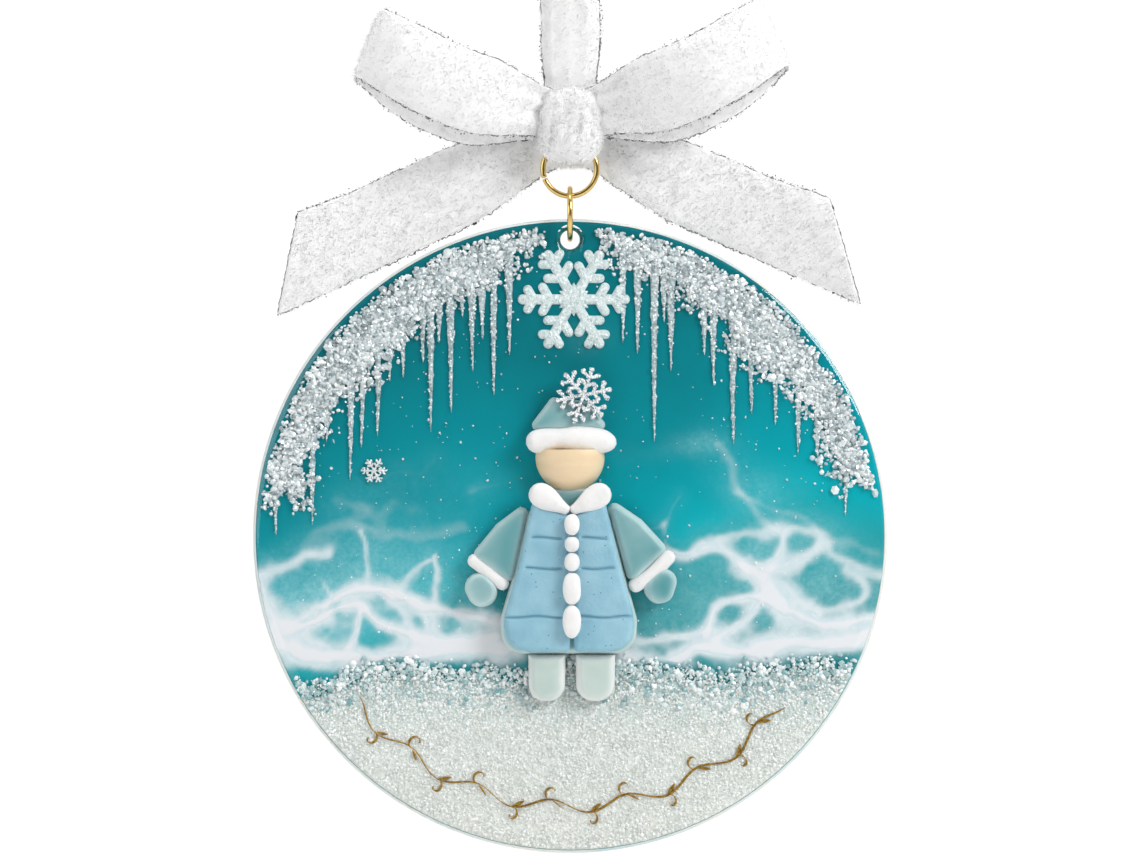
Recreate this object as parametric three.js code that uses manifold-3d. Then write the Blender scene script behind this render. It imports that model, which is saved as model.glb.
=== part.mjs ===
// A souvenir Christmas ornament: a round cast-resin disc with a winter beach inside it and a small
// figure of sea glass and clay glued on its face, hung by two jump rings from a velvet ribbon bow.
// Millimetres, +Z up. The face looks along -Y. The origin is the inside of the ribbon loop's top,
// the point that a hook or a branch holds.
import * as THREE from 'three';
import { mergeVertices } from 'three/addons/utils/BufferGeometryUtils.js';
import Module from 'manifold-3d';

const wasm = await Module();
wasm.setup();

// Driving dimensions.
const clearance = 0.3; // between neighbours that are shaped round each other
const glueLine = 0.02; // between pieces glued face to face

const discDrop = 140; // the disc's centre below the origin
const discRadius = 50;
const discThickness = 4.5;
const discSegments = 72;
const faceThickness = 1.2; // clear resin in front of the picture
const rimWall = 0.8; // clear resin around the picture
const rimRound = 1;
const backRound = 0.4;
const inlayThickness = 0.3; // glitter and pigment laid behind the clear face
const oceanThickness = 1;

const holeHeight = 46.75; // of the hole's centre above the disc's centre
const holeRadius = 1.5;
const holeChamfer = 0.4;
const bossWall = 0.6; // clear resin around the hole

const wireRadius = 0.45;
const upperRingRadius = 4.25; // to the middle of the wire
const upperRingHeight = 57.9; // of its centre above the disc's centre
const lowerRingRadius = 4;
const lowerRingHeight = 50.85;
const ringSlit = 0.02; // radians, half of the joint where the wire's ends meet

const ribbonThickness = 1.2; // velvet, with its pile
const hangerWidth = 9;
const bowWidth = 12.7;
const knotSize = { width: 10.6, depth: 10, height: 12.2, corner: 3, bevel: 1.6 };
const knotHeight = 64.6; // of its centre above the disc's centre
const knotSlot = { inner: 3.3, outer: 5.1, halfDepth: 2.1 }; // where the upper ring passes

const glassThickness = 2.1;
const glassRounding = 0.5;
const clayThickness = 1.4;
const clayRounding = 0.4;
const seamX = 0.3; // the coat's front seam

const balance = 0.3; // the disc's middle is this far back, so that disc and figure hang plumb
const discFrontY = balance - discThickness / 2;
const discBackY = balance + discThickness / 2;
const pocketFloorY = discFrontY + faceThickness;
const oceanFrontY = pocketFloorY + inlayThickness + 3 * glueLine;
const oceanBackY = oceanFrontY + oceanThickness;
const pocketRadius = discRadius - rimWall;
const pourRadius = pocketRadius - 0.1;
const bossRadius = holeRadius + bossWall;

const finish = (color, roughness, metalness = 0) =>
  new THREE.MeshStandardMaterial({ color, roughness, metalness });
const clearResin = finish(0xe8f6f6, 0.05);
const oceanResin = finish(0x0a93a0, 0.15);
const pearlResin = finish(0xf1f4f2, 0.3);
const foamPigment = finish(0xeef7f7, 0.35);
const sandGlitter = finish(0xdcebe9, 0.5);
const frostGlitter = finish(0xd5dde0, 0.35);
const whiteGlitter = finish(0xf3f7f8, 0.55);
const silver = finish(0xc4cacd, 0.3, 0.9);
const gold = finish(0xcfa75a, 0.22, 1);
const goldPaint = finish(0xa88434, 0.4, 0.8);
const seaGlass = finish(0x8fcdd0, 0.55);
const paleGlass = finish(0xc4dedc, 0.55);
const blueClay = finish(0x93bdd3, 0.8);
const whiteClay = finish(0xf0efee, 0.85);
const skinWood = finish(0xe9c9a3, 0.45);
const velvet = finish(0xf4f4f6, 0.95);

function solidFrom(geometry) {
  const bare = geometry.index ? geometry.toNonIndexed() : geometry.clone();
  bare.deleteAttribute('normal');
  bare.deleteAttribute('uv');
  const merged = mergeVertices(bare, 1e-4);
  return new wasm.Manifold(
    new wasm.Mesh({
      numProp: 3,
      vertProperties: merged.attributes.position.array,
      triVerts: new Uint32Array(merged.index.array),
    }),
  );
}

function geometryFrom(solid) {
  const mesh = solid.getMesh();
  const geometry = new THREE.BufferGeometry();
  geometry.setAttribute('position', new THREE.BufferAttribute(mesh.vertProperties, 3));
  geometry.setIndex(new THREE.BufferAttribute(mesh.triVerts, 1));
  geometry.computeVertexNormals();
  return geometry;
}

const cut = (geometry, ...tools) =>
  geometryFrom(tools.reduce((solid, tool) => solid.subtract(solidFrom(tool)), solidFrom(geometry)));
const join = (...geometries) =>
  geometryFrom(geometries.map(solidFrom).reduce((sum, solid) => sum.add(solid)));

// An outline drawn in X and Z, as a closed plate whose back is on the plane y = 0 and whose front
// is at y = -thickness. The rounding of its edges stays inside the outline.
function plate(shape, thickness, rounding = 0, segments = 2) {
  return new THREE.ExtrudeGeometry(shape, {
    depth: thickness - 2 * rounding,
    curveSegments: segments,
    bevelEnabled: rounding > 0,
    bevelThickness: rounding,
    bevelSize: rounding,
    bevelOffset: -rounding,
    bevelSegments: 2,
  })
    .translate(0, 0, rounding)
    .rotateX(Math.PI / 2);
}

// A polygon, drawn clockwise or not, whose corners are arcs of one radius.
function softPolygon(corners, radius) {
  const points = corners.map(([x, z]) => new THREE.Vector2(x, z));
  const shape = new THREE.Shape();
  points.forEach((corner, i) => {
    const before = points[(i + points.length - 1) % points.length].clone().sub(corner).normalize();
    const after = points[(i + 1) % points.length].clone().sub(corner).normalize();
    const half = before.angleTo(after) / 2;
    const centre = before.clone().add(after).setLength(radius / Math.sin(half)).add(corner);
    const start = before.multiplyScalar(radius / Math.tan(half)).add(corner).sub(centre).angle();
    const end = after.multiplyScalar(radius / Math.tan(half)).add(corner).sub(centre).angle();
    const sweep = THREE.MathUtils.euclideanModulo(end - start, 2 * Math.PI);
    shape.absarc(centre.x, centre.y, radius, start, end, sweep > Math.PI);
  });
  shape.closePath();
  return shape;
}

// A round bar along Y, from one depth to another.
const barAlongY = (radius, fromY, toY, segments) =>
  new THREE.CylinderGeometry(radius, radius, toY - fromY, segments).translate(0, (fromY + toY) / 2, 0);

// A strip of ribbon along a flat curve in X and Y, its width along Z.
function strip(points, width, steps) {
  const curve = new THREE.CatmullRomCurve3(points.map(([x, y]) => new THREE.Vector3(x, y, 0)));
  const section = new THREE.Shape()
    .moveTo(-width / 2, -ribbonThickness / 2)
    .lineTo(width / 2, -ribbonThickness / 2)
    .lineTo(width / 2, ribbonThickness / 2)
    .lineTo(-width / 2, ribbonThickness / 2);
  return new THREE.ExtrudeGeometry(section, { steps, extrudePath: curve });
}

// A roll of clay: a round bar through the points, with domed ends, pressed flat along Y.
function clayRoll(points, radius, pressed) {
  const path = new THREE.CatmullRomCurve3(points.map(([x, z]) => new THREE.Vector3(x, 0, z)));
  const section = new THREE.Shape().absarc(0, 0, radius, 0, 2 * Math.PI);
  const bar = new THREE.ExtrudeGeometry(section, { steps: 5, curveSegments: 4, extrudePath: path });
  const ends = [points[0], points[points.length - 1]].map(([x, z]) =>
    new THREE.SphereGeometry(radius, 8, 6).rotateX(Math.PI / 2).translate(x, 0, z),
  );
  return join(bar, ...ends).scale(1, pressed, 1);
}

// A round wire ring around Y, cut through on one side where its ends meet.
function jumpRing(radius) {
  const points = [];
  for (let i = 0; i <= 24; i += 1) {
    const turn = ringSlit + ((2 * Math.PI - 2 * ringSlit) * i) / 24;
    points.push(new THREE.Vector3(radius * Math.cos(turn), 0, radius * Math.sin(turn)));
  }
  const section = new THREE.Shape().absarc(0, 0, wireRadius, 0, 2 * Math.PI);
  return new THREE.ExtrudeGeometry(section, {
    steps: 22,
    curveSegments: 4,
    extrudePath: new THREE.CatmullRomCurve3(points),
  });
}

// A six-armed snowflake: each arm is a bar with pairs of side branches at 60 degrees to it.
function snowflake(radius, width, thickness, branches, tilt = 0) {
  const bars = [];
  const bar = (length, from, turn) =>
    new THREE.BoxGeometry(length, thickness, width)
      .translate(length / 2, -thickness / 2, 0)
      .rotateY(-turn)
      .translate(from[0], 0, from[1]);
  for (let arm = 0; arm < 6; arm += 1) {
    const turn = tilt + (arm * Math.PI) / 3;
    bars.push(bar(radius, [0, 0], turn));
    for (const [along, length] of branches) {
      const root = [radius * along * Math.cos(turn), radius * along * Math.sin(turn)];
      bars.push(bar(radius * length, root, turn + Math.PI / 3));
      bars.push(bar(radius * length, root, turn - Math.PI / 3));
    }
  }
  return join(...bars);
}

const ornament = new THREE.Group();
const ribbonGroup = new THREE.Group();
const discGroup = new THREE.Group(); // its zero is the disc's centre
discGroup.position.z = -discDrop;
const faceGroup = new THREE.Group(); // its zero is the middle of the disc's front face
faceGroup.position.y = discFrontY - glueLine;
discGroup.add(faceGroup);
ornament.add(ribbonGroup, discGroup);

function add(group, name, geometry, material, x = 0, y = 0, z = 0) {
  const mesh = new THREE.Mesh(geometry, material);
  mesh.name = name;
  mesh.position.set(x, y, z);
  group.add(mesh);
  return mesh;
}

// ---- The disc: a clear casting, open at the back, filled in turn with glitter, blue and white resin.

function quarter(centreR, centreY, radius, from, steps = 3) {
  return Array.from({ length: steps + 1 }, (_, i) => {
    const turn = from + (i * Math.PI) / 2 / steps;
    return new THREE.Vector2(centreR + radius * Math.cos(turn), centreY + radius * Math.sin(turn));
  });
}

function holeTool(radius, chamfer) {
  const profile = [
    new THREE.Vector2(0, discFrontY - 1),
    new THREE.Vector2(radius + chamfer + 1, discFrontY - 1),
    new THREE.Vector2(radius, discFrontY + chamfer),
    new THREE.Vector2(radius, discBackY - chamfer),
    new THREE.Vector2(radius + chamfer + 1, discBackY + 1),
    new THREE.Vector2(0, discBackY + 1),
  ];
  return new THREE.LatheGeometry(profile, 20).translate(0, 0, holeHeight);
}

function casting() {
  const cup = new THREE.LatheGeometry(
    [
      new THREE.Vector2(0, discFrontY),
      ...quarter(discRadius - rimRound, discFrontY + rimRound, rimRound, -Math.PI / 2),
      ...quarter(discRadius - backRound, discBackY - backRound, backRound, 0, 2),
      new THREE.Vector2(pocketRadius, discBackY),
      new THREE.Vector2(pocketRadius, pocketFloorY),
      new THREE.Vector2(0, pocketFloorY),
    ],
    discSegments,
  );
  const boss = barAlongY(bossRadius, discFrontY + rimRound, discBackY, 20).translate(0, 0, holeHeight);
  return cut(join(cup, boss), holeTool(holeRadius, holeChamfer));
}

function pour(frontY, backY) {
  const round = barAlongY(pourRadius, frontY, backY, discSegments);
  const bossHole = barAlongY(bossRadius + 0.2, frontY - 1, backY + 1, 20).translate(0, 0, holeHeight);
  return cut(round, bossHole);
}

add(discGroup, 'resin_casting', casting(), clearResin);
add(discGroup, 'ocean_pour', pour(oceanFrontY, oceanBackY), oceanResin);
add(discGroup, 'pearl_backing', pour(oceanBackY + glueLine, discBackY), pearlResin);

// ---- Inlays behind the clear face. Their backs are a glue line in front of the ocean.

const inlayY = oceanFrontY - glueLine;
const inlayRadius = 48.6;

// The waterline: the sand's upper edge as a height for each x.
const waterline = (x) => -19.6 + 0.9 * Math.sin(x / 5.2) + 0.5 * Math.sin(x / 2.3 + 1);
const foamTop = (x) => -7.5 + 1.6 * Math.sin(x / 7.5 + 0.8) + 0.6 * Math.sin(x / 3.1);
const across = (reach, steps) =>
  Array.from({ length: steps + 1 }, (_, i) => -reach + (2 * reach * i) / steps);

const foamShape = new THREE.Shape([
  ...across(47.3, 28).map((x) => new THREE.Vector2(x, foamTop(x))),
  ...across(43.6, 26).map((x) => new THREE.Vector2(-x, waterline(-x) + clearance)),
]);
add(discGroup, 'wave_foam', plate(foamShape, inlayThickness), foamPigment, 0, inlayY);

const sandEdge = across(44, 26).map((x) => new THREE.Vector2(x, waterline(x)));
const sandArc = across(1.12, 24).map(
  (turn) => new THREE.Vector2(inlayRadius * Math.sin(-turn), -inlayRadius * Math.cos(turn)),
);
const sandShape = new THREE.Shape([...sandEdge, ...sandArc]);
add(discGroup, 'sand_bank', plate(sandShape, inlayThickness), sandGlitter, 0, inlayY);

// A frost band along the rim, from the side of the disc to beside the hole, with icicles hanging
// straight down from it. Each icicle is [distance from the middle, height of its tip].
function frost(side, icicles) {
  const width = (x) => 3.2 + 6 * Math.sin((Math.PI * (x - 2)) / 50);
  const bandUnder = (x) => Math.sqrt(Math.max((inlayRadius - width(x)) ** 2 - x * x, 0));
  const under = (x) => (x < 40 ? bandUnder(x) : THREE.MathUtils.lerp(bandUnder(40), 6, (x - 40) / 7.2));
  const outline = [];
  for (let i = 0; i <= 20; i += 1) {
    const turn = THREE.MathUtils.lerp(Math.asin(4 / inlayRadius), 1.43, i / 20);
    outline.push([inlayRadius * Math.sin(turn), inlayRadius * Math.cos(turn)]);
  }
  for (const [x, tip] of icicles) {
    outline.push([x + 0.55, under(x + 0.55)], [x, tip], [x - 0.55, under(x - 0.55)]);
  }
  outline.push([4.4, 45.2]);
  const points = outline.map(([x, z]) => new THREE.Vector2(side * x, z));
  return new THREE.Shape(side > 0 ? points.reverse() : points);
}

const leftIcicles = [
  [46.4, 0.2], [44.3, 6.5], [40.6, 1.7], [38.3, 14.8], [34.6, 8.8], [32.8, 13.9], [30.3, 15.8],
  [28.4, 24.4], [26.3, 24.9], [23.2, 27.3], [22, 16.4], [20.7, 30.4], [18.8, 19.4], [17, 34.5],
  [15.4, 25.9], [13.8, 31], [12, 22.2], [9.6, 28.5],
];
const rightIcicles = [
  [46.4, 7.3], [44.8, 10.3], [43.4, 3.2], [41.2, 14], [39, 11], [37.3, 18.9], [36, 12.8],
  [32.4, 17.5], [30.3, 25.7], [28.6, 19.2], [25.7, 14.3], [22.6, 23.7], [21.1, 28.5], [15.9, 26],
  [14.8, 33.7], [13.3, 14.8], [10.7, 28.7], [8.4, 30.4],
];
add(discGroup, 'frost_left', plate(frost(-1, leftIcicles), inlayThickness), frostGlitter, 0, inlayY);
add(discGroup, 'frost_right', plate(frost(1, rightIcicles), inlayThickness), frostGlitter, 0, inlayY);

// ---- Trim stuck on the face.

const largeBranches = [[0.34, 0.22], [0.62, 0.3]];
add(faceGroup, 'snowflake_large', snowflake(8.8, 1.5, 0.5, largeBranches), whiteGlitter, 0.6, 0, 37.5);
add(faceGroup, 'snowflake_small', snowflake(2, 0.35, 0.25, [[0.55, 0.4]], 0.3), whiteGlitter, -30.9, 0, 10.3);

// A scroll of gold paint along the lower rim: a wavy line of even width.
function scroll() {
  const outline = (offset) =>
    across(0.93, 66).map((turn) => {
      const r = 43 + 1.1 * Math.sin(turn * 22) + offset;
      return new THREE.Vector2(r * Math.sin(turn), -r * Math.cos(turn));
    });
  return new THREE.Shape([...outline(0.25), ...outline(-0.25).reverse()]);
}
add(faceGroup, 'gold_scroll', plate(scroll(), 0.15), goldPaint);

// ---- The figure, glued on the face. Heights are from the disc's centre.

const bodyOutline = [[-6.3, 4.6], [5.7, 4.6], [10.3, -13.2], [8.4, -18.5], [-8.8, -18.5], [-10.6, -13.2]];
add(faceGroup, 'coat_base_glass', plate(softPolygon(bodyOutline, 2), glassThickness, glassRounding), seaGlass);

const onGlassY = -glassThickness - glueLine;
const stitchLines = [-0.2, -5, -12.6];

function coatPanel(corners) {
  const panel = plate(softPolygon(corners, 1.1), clayThickness, clayRounding);
  const grooves = stitchLines.map((z) =>
    new THREE.BoxGeometry(7.4, 0.9, 0.3).translate(Math.sign(corners[0][0]) * 5, -clayThickness, z),
  );
  return cut(panel, ...grooves);
}
const leftPanel = [[-5.8, 3.9], [seamX - 0.3, 2.2], [seamX - 0.3, -18], [-8.4, -18.2], [-10.1, -13.2]];
const rightPanel = [[5.3, 3.9], [9.8, -13.2], [8, -18.2], [seamX + 0.3, -18], [seamX + 0.3, 2.2]];
add(faceGroup, 'coat_panel_left', coatPanel(leftPanel), blueClay, 0, onGlassY);
add(faceGroup, 'coat_panel_right', coatPanel(rightPanel), blueClay, 0, onGlassY);

// Buttons, from the top: height of the centre, width, length.
const buttons = [[1.55, 2.5, 2.8], [-1.2, 2.4, 2.3], [-3.95, 2.5, 2.7], [-8.1, 3, 4.9], [-13.3, 3, 5]];
const buttonY = onGlassY - clayThickness - 1.05;
buttons.forEach(([z, width, length], i) => {
  const bead = new THREE.SphereGeometry(1, 10, 6).rotateX(Math.PI / 2).scale(width / 2, 1, length / 2);
  add(faceGroup, `button_${i + 1}`, bead, whiteClay, seamX, buttonY, z);
});

// A collar petal, the right one: a drop, thick at the shoulder, lying from there to the throat.
function petal() {
  const profile = across(1, 9).map((t) => {
    const along = (t + 1) / 2;
    const radius = 2.05 * Math.sqrt(1 - t * t) * (1 - 0.4 * along);
    return new THREE.Vector2(radius, along * 7.2 - 1.7);
  });
  return new THREE.LatheGeometry(profile, 12)
    .rotateZ(Math.PI / 2)
    .rotateY(-0.45)
    .scale(1, 0.6, 1)
    .translate(4.6, 0, 6.2);
}
const petalY = onGlassY - 1.2;
add(faceGroup, 'collar_right', petal(), whiteClay, 0, petalY);
add(faceGroup, 'collar_left', petal(), whiteClay, -0.45, petalY).scale.x = -1;

const neckOutline = [[-3, 6.5], [3, 6.5], [2.4, 4.9], [-2.6, 4.9]];
add(faceGroup, 'neck_glass', plate(softPolygon(neckOutline, 0.4), glassThickness - 0.4), seaGlass);

const brimPath = [[-5, 14.9], [0.2, 15.4], [5.4, 14.9]];
const brimRadius = 2;
const brimPressed = 0.85;
const brimY = -brimRadius * brimPressed;
add(faceGroup, 'hat_brim', clayRoll(brimPath, brimRadius, brimPressed), whiteClay, 0, brimY);

// The head is the lower part of a half ball: the hat covers the rest.
function head() {
  const radius = 5.44;
  const centreZ = 12.4;
  const ball = new THREE.SphereGeometry(radius, 22, 14).rotateX(Math.PI / 2).scale(1, 0.8, 1).translate(0, 0, centreZ);
  const behind = new THREE.BoxGeometry(20, 20, 20).translate(0, 10, centreZ);
  const above = new THREE.BoxGeometry(20, 20, 20).translate(0, 0, 14.4 + 10);
  const brim = clayRoll(brimPath, brimRadius + clearance, brimPressed).translate(0, brimY, 0);
  return cut(ball, behind, above, brim);
}
add(faceGroup, 'head', head(), skinWood);

const crownOutline = [[-6.4, 17.7], [-3.2, 21.6], [2.4, 20.9], [6.2, 17.7]];
add(faceGroup, 'hat_crown', plate(softPolygon(crownOutline, 0.8), glassThickness, glassRounding), seaGlass);
const hatBranches = [[0.42, 0.32], [0.7, 0.24]];
const hatFlake = snowflake(4.6, 0.55, 0.6, hatBranches, 0.2);
add(faceGroup, 'hat_snowflake', hatFlake, silver, 2.1, onGlassY, 22.2);

const sleeveLeft = [[-7, 5], [-9.9, -6.4], [-14.3, -2.8]];
const sleeveRight = [[6.6, 5.2], [14.5, -2], [10, -6.2]];
const mittenLeft = [[-15.7, -4.7], [-11.4, -8.3], [-12, -10.6], [-14.4, -11.1], [-16.2, -9]];
const mittenRight = [[16, -4.6], [16.2, -7.2], [14.7, -9.9], [12.2, -10.2], [11.2, -8.7]];
const legLeft = [[-6.5, -18.85], [-0.7, -18.85], [-0.9, -25.6], [-6.4, -25.9]];
const legRight = [[0.9, -18.85], [7.1, -18.85], [6.9, -25.8], [1.1, -25.5]];
const glassPiece = (corners, rounding) => plate(softPolygon(corners, rounding), glassThickness, glassRounding);
add(faceGroup, 'sleeve_left', glassPiece(sleeveLeft, 1.2), seaGlass);
add(faceGroup, 'sleeve_right', glassPiece(sleeveRight, 1.2), seaGlass);
add(faceGroup, 'mitten_left', glassPiece(mittenLeft, 1.2), seaGlass);
add(faceGroup, 'mitten_right', glassPiece(mittenRight, 1.1), seaGlass);
add(faceGroup, 'leg_left', glassPiece(legLeft, 2.2), paleGlass);
add(faceGroup, 'leg_right', glassPiece(legRight, 2.2), paleGlass);

const cuffRadius = 0.9;
const cuffLeft = [[-15, -3.6], [-12.8, -5.6], [-10.5, -7.4]];
const cuffRight = [[15.4, -3.2], [13, -5.8], [10.3, -7.8]];
add(faceGroup, 'cuff_left', clayRoll(cuffLeft, cuffRadius, 1), whiteClay, 0, -cuffRadius);
add(faceGroup, 'cuff_right', clayRoll(cuffRight, cuffRadius, 1), whiteClay, 0, -cuffRadius);

// ---- The rings: the upper one faces forward, the lower one is edge on and passes through the hole.

add(discGroup, 'upper_jump_ring', jumpRing(upperRingRadius), gold, 0, 0, upperRingHeight);
add(discGroup, 'lower_jump_ring', jumpRing(lowerRingRadius), gold, 0, 0, lowerRingHeight)
  .rotation.z = Math.PI / 2;

// ---- The ribbon.

const knotTopZ = knotHeight + knotSize.height / 2 - discDrop;

// The hanger: one strip, up in front, over the top and down behind, held at both ends by the knot.
// Each point of its front half is [distance in front of the middle, height].
const hangerSide = [[1, knotTopZ + clearance], [1.8, -60], [4.6, -42], [7, -24], [7.1, -11], [4.6, -2.6]];
const hangerTop = [0, ribbonThickness / 2];
const hangerPath = [
  ...hangerSide.map(([y, z]) => [z, -y]),
  [hangerTop[1], hangerTop[0]],
  ...hangerSide.map(([y, z]) => [z, y]).reverse(),
];
const hanger = strip(hangerPath, hangerWidth, 44).rotateY(-Math.PI / 2);
add(ribbonGroup, 'hanger_loop', hanger, velvet);

// The knot is a cushion of wrapped ribbon with a round slot under it, in which the upper ring swings.
const bow = new THREE.Group(); // its zero is the knot's middle
bow.position.z = knotHeight - discDrop;
ribbonGroup.add(bow);

function knotCushion(grown = 0) {
  const halfWidth = knotSize.width / 2 + grown;
  const halfHeight = knotSize.height / 2 + grown;
  const corners = [[-halfWidth, halfHeight], [halfWidth, halfHeight], [halfWidth, -halfHeight], [-halfWidth, -halfHeight]];
  const depth = knotSize.depth + 2 * grown;
  return plate(softPolygon(corners, knotSize.corner), depth, knotSize.bevel).translate(0, depth / 2, 0);
}
const slotAt = upperRingHeight - knotHeight;
const slotCore = barAlongY(knotSlot.inner, -9, 9, 24);
const slot = cut(barAlongY(knotSlot.outer, -knotSlot.halfDepth, knotSlot.halfDepth, 32), slotCore);
add(bow, 'bow_knot', cut(knotCushion(), slot.translate(0, 0, slotAt)), velvet);

// A bow loop: a strip that leaves the knot in front, turns back at its end and returns behind.
// Its points are [distance out from the knot's middle, depth].
function bowLoop(reach) {
  const front = [[1.5, -1.5], [6, -2.6], [13, -6.4], [reach - 7, -8.4]];
  const back = [[reach - 7, 0.2], [13, 0], [6, -0.2], [1.5, -0.1]];
  return strip([...front, [reach, -3.8], ...back], bowWidth - 0.7, 34);
}
// A bow tail: a flat strip behind the loops that ends in a slanting cut.
function bowTail(length, slant) {
  const path = [[1.5, 1.6], [12, 2.8], [24, 2.6], [length + 8, -0.4]];
  const blade = new THREE.BoxGeometry(30, 30, 60).translate(15, 0, 0).rotateY(slant).translate(length, 0, 0);
  return cut(strip(path, bowWidth, 12), blade);
}
// Turns a piece that lies along +X to point up from there by the given angle, on either side, and
// trims its root round the knot.
function onKnot(geometry, side, rise, rootHeight) {
  const turned = geometry.rotateY(side > 0 ? -rise : Math.PI + rise).translate(0, 0, rootHeight);
  const middle = new THREE.BoxGeometry(knotSize.width - 0.4, 30, 40);
  return cut(turned, knotCushion(clearance), middle);
}
add(bow, 'bow_loop_left', onKnot(bowLoop(33), -1, 0.38, 0.9), velvet);
add(bow, 'bow_loop_right', onKnot(bowLoop(34), 1, 0.42, 0.9), velvet);
add(bow, 'bow_tail_left', onKnot(bowTail(50.5, 0.71), -1, -0.49, 0), velvet);
add(bow, 'bow_tail_right', onKnot(bowTail(48.5, -0.77), 1, -0.46, 0), velvet);

export default ornament;
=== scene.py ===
import math

import bmesh
import bpy
import numpy as np
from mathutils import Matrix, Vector


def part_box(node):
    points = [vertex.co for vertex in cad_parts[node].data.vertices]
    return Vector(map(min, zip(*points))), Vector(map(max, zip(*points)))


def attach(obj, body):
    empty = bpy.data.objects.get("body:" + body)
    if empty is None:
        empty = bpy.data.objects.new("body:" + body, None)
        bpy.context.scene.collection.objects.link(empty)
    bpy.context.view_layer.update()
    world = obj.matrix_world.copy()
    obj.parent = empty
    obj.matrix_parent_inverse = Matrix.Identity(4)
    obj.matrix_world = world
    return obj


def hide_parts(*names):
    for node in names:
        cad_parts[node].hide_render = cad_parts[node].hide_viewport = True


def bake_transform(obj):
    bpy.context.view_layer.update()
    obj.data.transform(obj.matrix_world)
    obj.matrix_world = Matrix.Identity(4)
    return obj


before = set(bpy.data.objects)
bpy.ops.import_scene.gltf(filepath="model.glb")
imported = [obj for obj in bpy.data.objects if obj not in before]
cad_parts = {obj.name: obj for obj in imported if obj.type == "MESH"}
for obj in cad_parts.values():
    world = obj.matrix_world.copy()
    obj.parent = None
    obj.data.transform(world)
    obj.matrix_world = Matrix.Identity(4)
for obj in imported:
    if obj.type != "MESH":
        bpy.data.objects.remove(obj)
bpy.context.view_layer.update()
mm = 0.001
castingLow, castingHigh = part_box("resin_casting")
# every piece is drawn in mm from the middle of the disc
discMiddle = np.array([0.0, 0.0, (castingLow.z + castingHigh.z) / 2])
faceDepth = castingLow.y / mm  # front of the casting
backDepth = castingHigh.y / mm
paintDepth = faceDepth + 1.15  # the painted layer, seen through the clear face


def gridFaces(rows, columns, wrapRows=False, wrapColumns=False):
    # four corners of each cell: a point, the next in its row, and the two below them
    r = np.arange(rows if wrapRows else rows - 1)[:, None]
    c = np.arange(columns if wrapColumns else columns - 1)[None, :]
    nextR, nextC = (r + 1) % rows, (c + 1) % columns
    corners = [r * columns + c, r * columns + nextC, nextR * columns + nextC, nextR * columns + c]
    shape = np.broadcast_shapes(r.shape, c.shape)
    return np.stack([np.broadcast_to(k, shape) for k in corners], -1).reshape(-1, 4)


def capped(faces, rows, around):
    # the first and the last ring of a grid closed by one face each
    ring = np.arange(around)
    return faces + [ring[None], ring[::-1][None] + (rows - 1) * around]


def newPiece(name, points, faces, material, body, standsFor=(), slot=None, marks=None,
             smooth=True, outward=True):
    # puts arrays of points, in mm from the disc's middle, and faces of any number of corners into a mesh
    faceSets = faces if isinstance(faces, list) else [faces]
    sizes = np.concatenate([np.full(len(f), f.shape[1]) for f in faceSets])
    corners = np.concatenate([f.ravel() for f in faceSets]).astype(np.int32)
    mesh = bpy.data.meshes.new(name)
    mesh.vertices.add(len(points))
    mesh.vertices.foreach_set("co", (np.asarray(points) * mm + discMiddle).astype(np.float32).ravel())
    mesh.loops.add(len(corners))
    mesh.loops.foreach_set("vertex_index", corners)
    mesh.polygons.add(len(sizes))
    mesh.polygons.foreach_set("loop_start", np.concatenate([[0], np.cumsum(sizes)[:-1]]).astype(np.int32))
    mesh.polygons.foreach_set("use_smooth", np.full(len(sizes), smooth))
    mesh.update(calc_edges=True)
    mesh.validate()
    if outward:
        shell = bmesh.new()
        shell.from_mesh(mesh)
        bmesh.ops.recalc_face_normals(shell, faces=shell.faces)
        shell.to_mesh(mesh)
        shell.free()
    for mark, values in (marks or {}).items():
        mesh.attributes.new(mark, "FLOAT", "POINT").data.foreach_set("value", np.asarray(values, np.float32))
    mesh.materials.append(material)
    piece = bpy.data.objects.new(name, mesh)
    bpy.context.scene.collection.objects.link(piece)
    if body:
        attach(piece, body)
    if standsFor:
        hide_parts(*standsFor)
    return piece


def curveThrough(corners, step):
    # Catmull-Rom curve through the corners, then points at an equal step along it
    p = np.asarray(corners, float)
    p = np.vstack([2 * p[0] - p[1], p, 2 * p[-1] - p[-2]])
    t = np.linspace(0, 1, 24, endpoint=False)[:, None]
    parts = []
    for a, b, c, d in zip(p, p[1:], p[2:], p[3:]):
        parts.append(0.5 * (2 * b + (c - a) * t + (2 * a - 5 * b + 4 * c - d) * t**2
                            + (3 * b - a - 3 * c + d) * t**3))
    dense = np.vstack(parts + [p[-2:-1]])
    along = np.concatenate([[0], np.cumsum(np.linalg.norm(np.diff(dense, axis=0), axis=1))])
    wanted = np.linspace(0, along[-1], max(3, int(round(along[-1] / step)) + 1))
    return np.stack([np.interp(wanted, along, dense[:, k]) for k in range(p.shape[1])], -1)


def tangents(path, closed=False):
    # direction from the point before to the point after, of unit length
    if closed:
        way = np.roll(path, -1, 0) - np.roll(path, 1, 0)
    else:
        way = np.gradient(path, axis=0)
    return way / np.linalg.norm(way, axis=1, keepdims=True)


def flatPath(line, depth):
    # a line laid at one depth, with its sideways direction at every point
    path = np.stack([line[:, 0], np.full(len(line), depth), line[:, 1]], -1)
    way = tangents(path)
    return path, np.stack([way[:, 2], np.zeros(len(way)), -way[:, 0]], -1)


def bent(value, power):
    # a power that keeps the sign
    return np.sign(value) * np.abs(value) ** power


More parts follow.
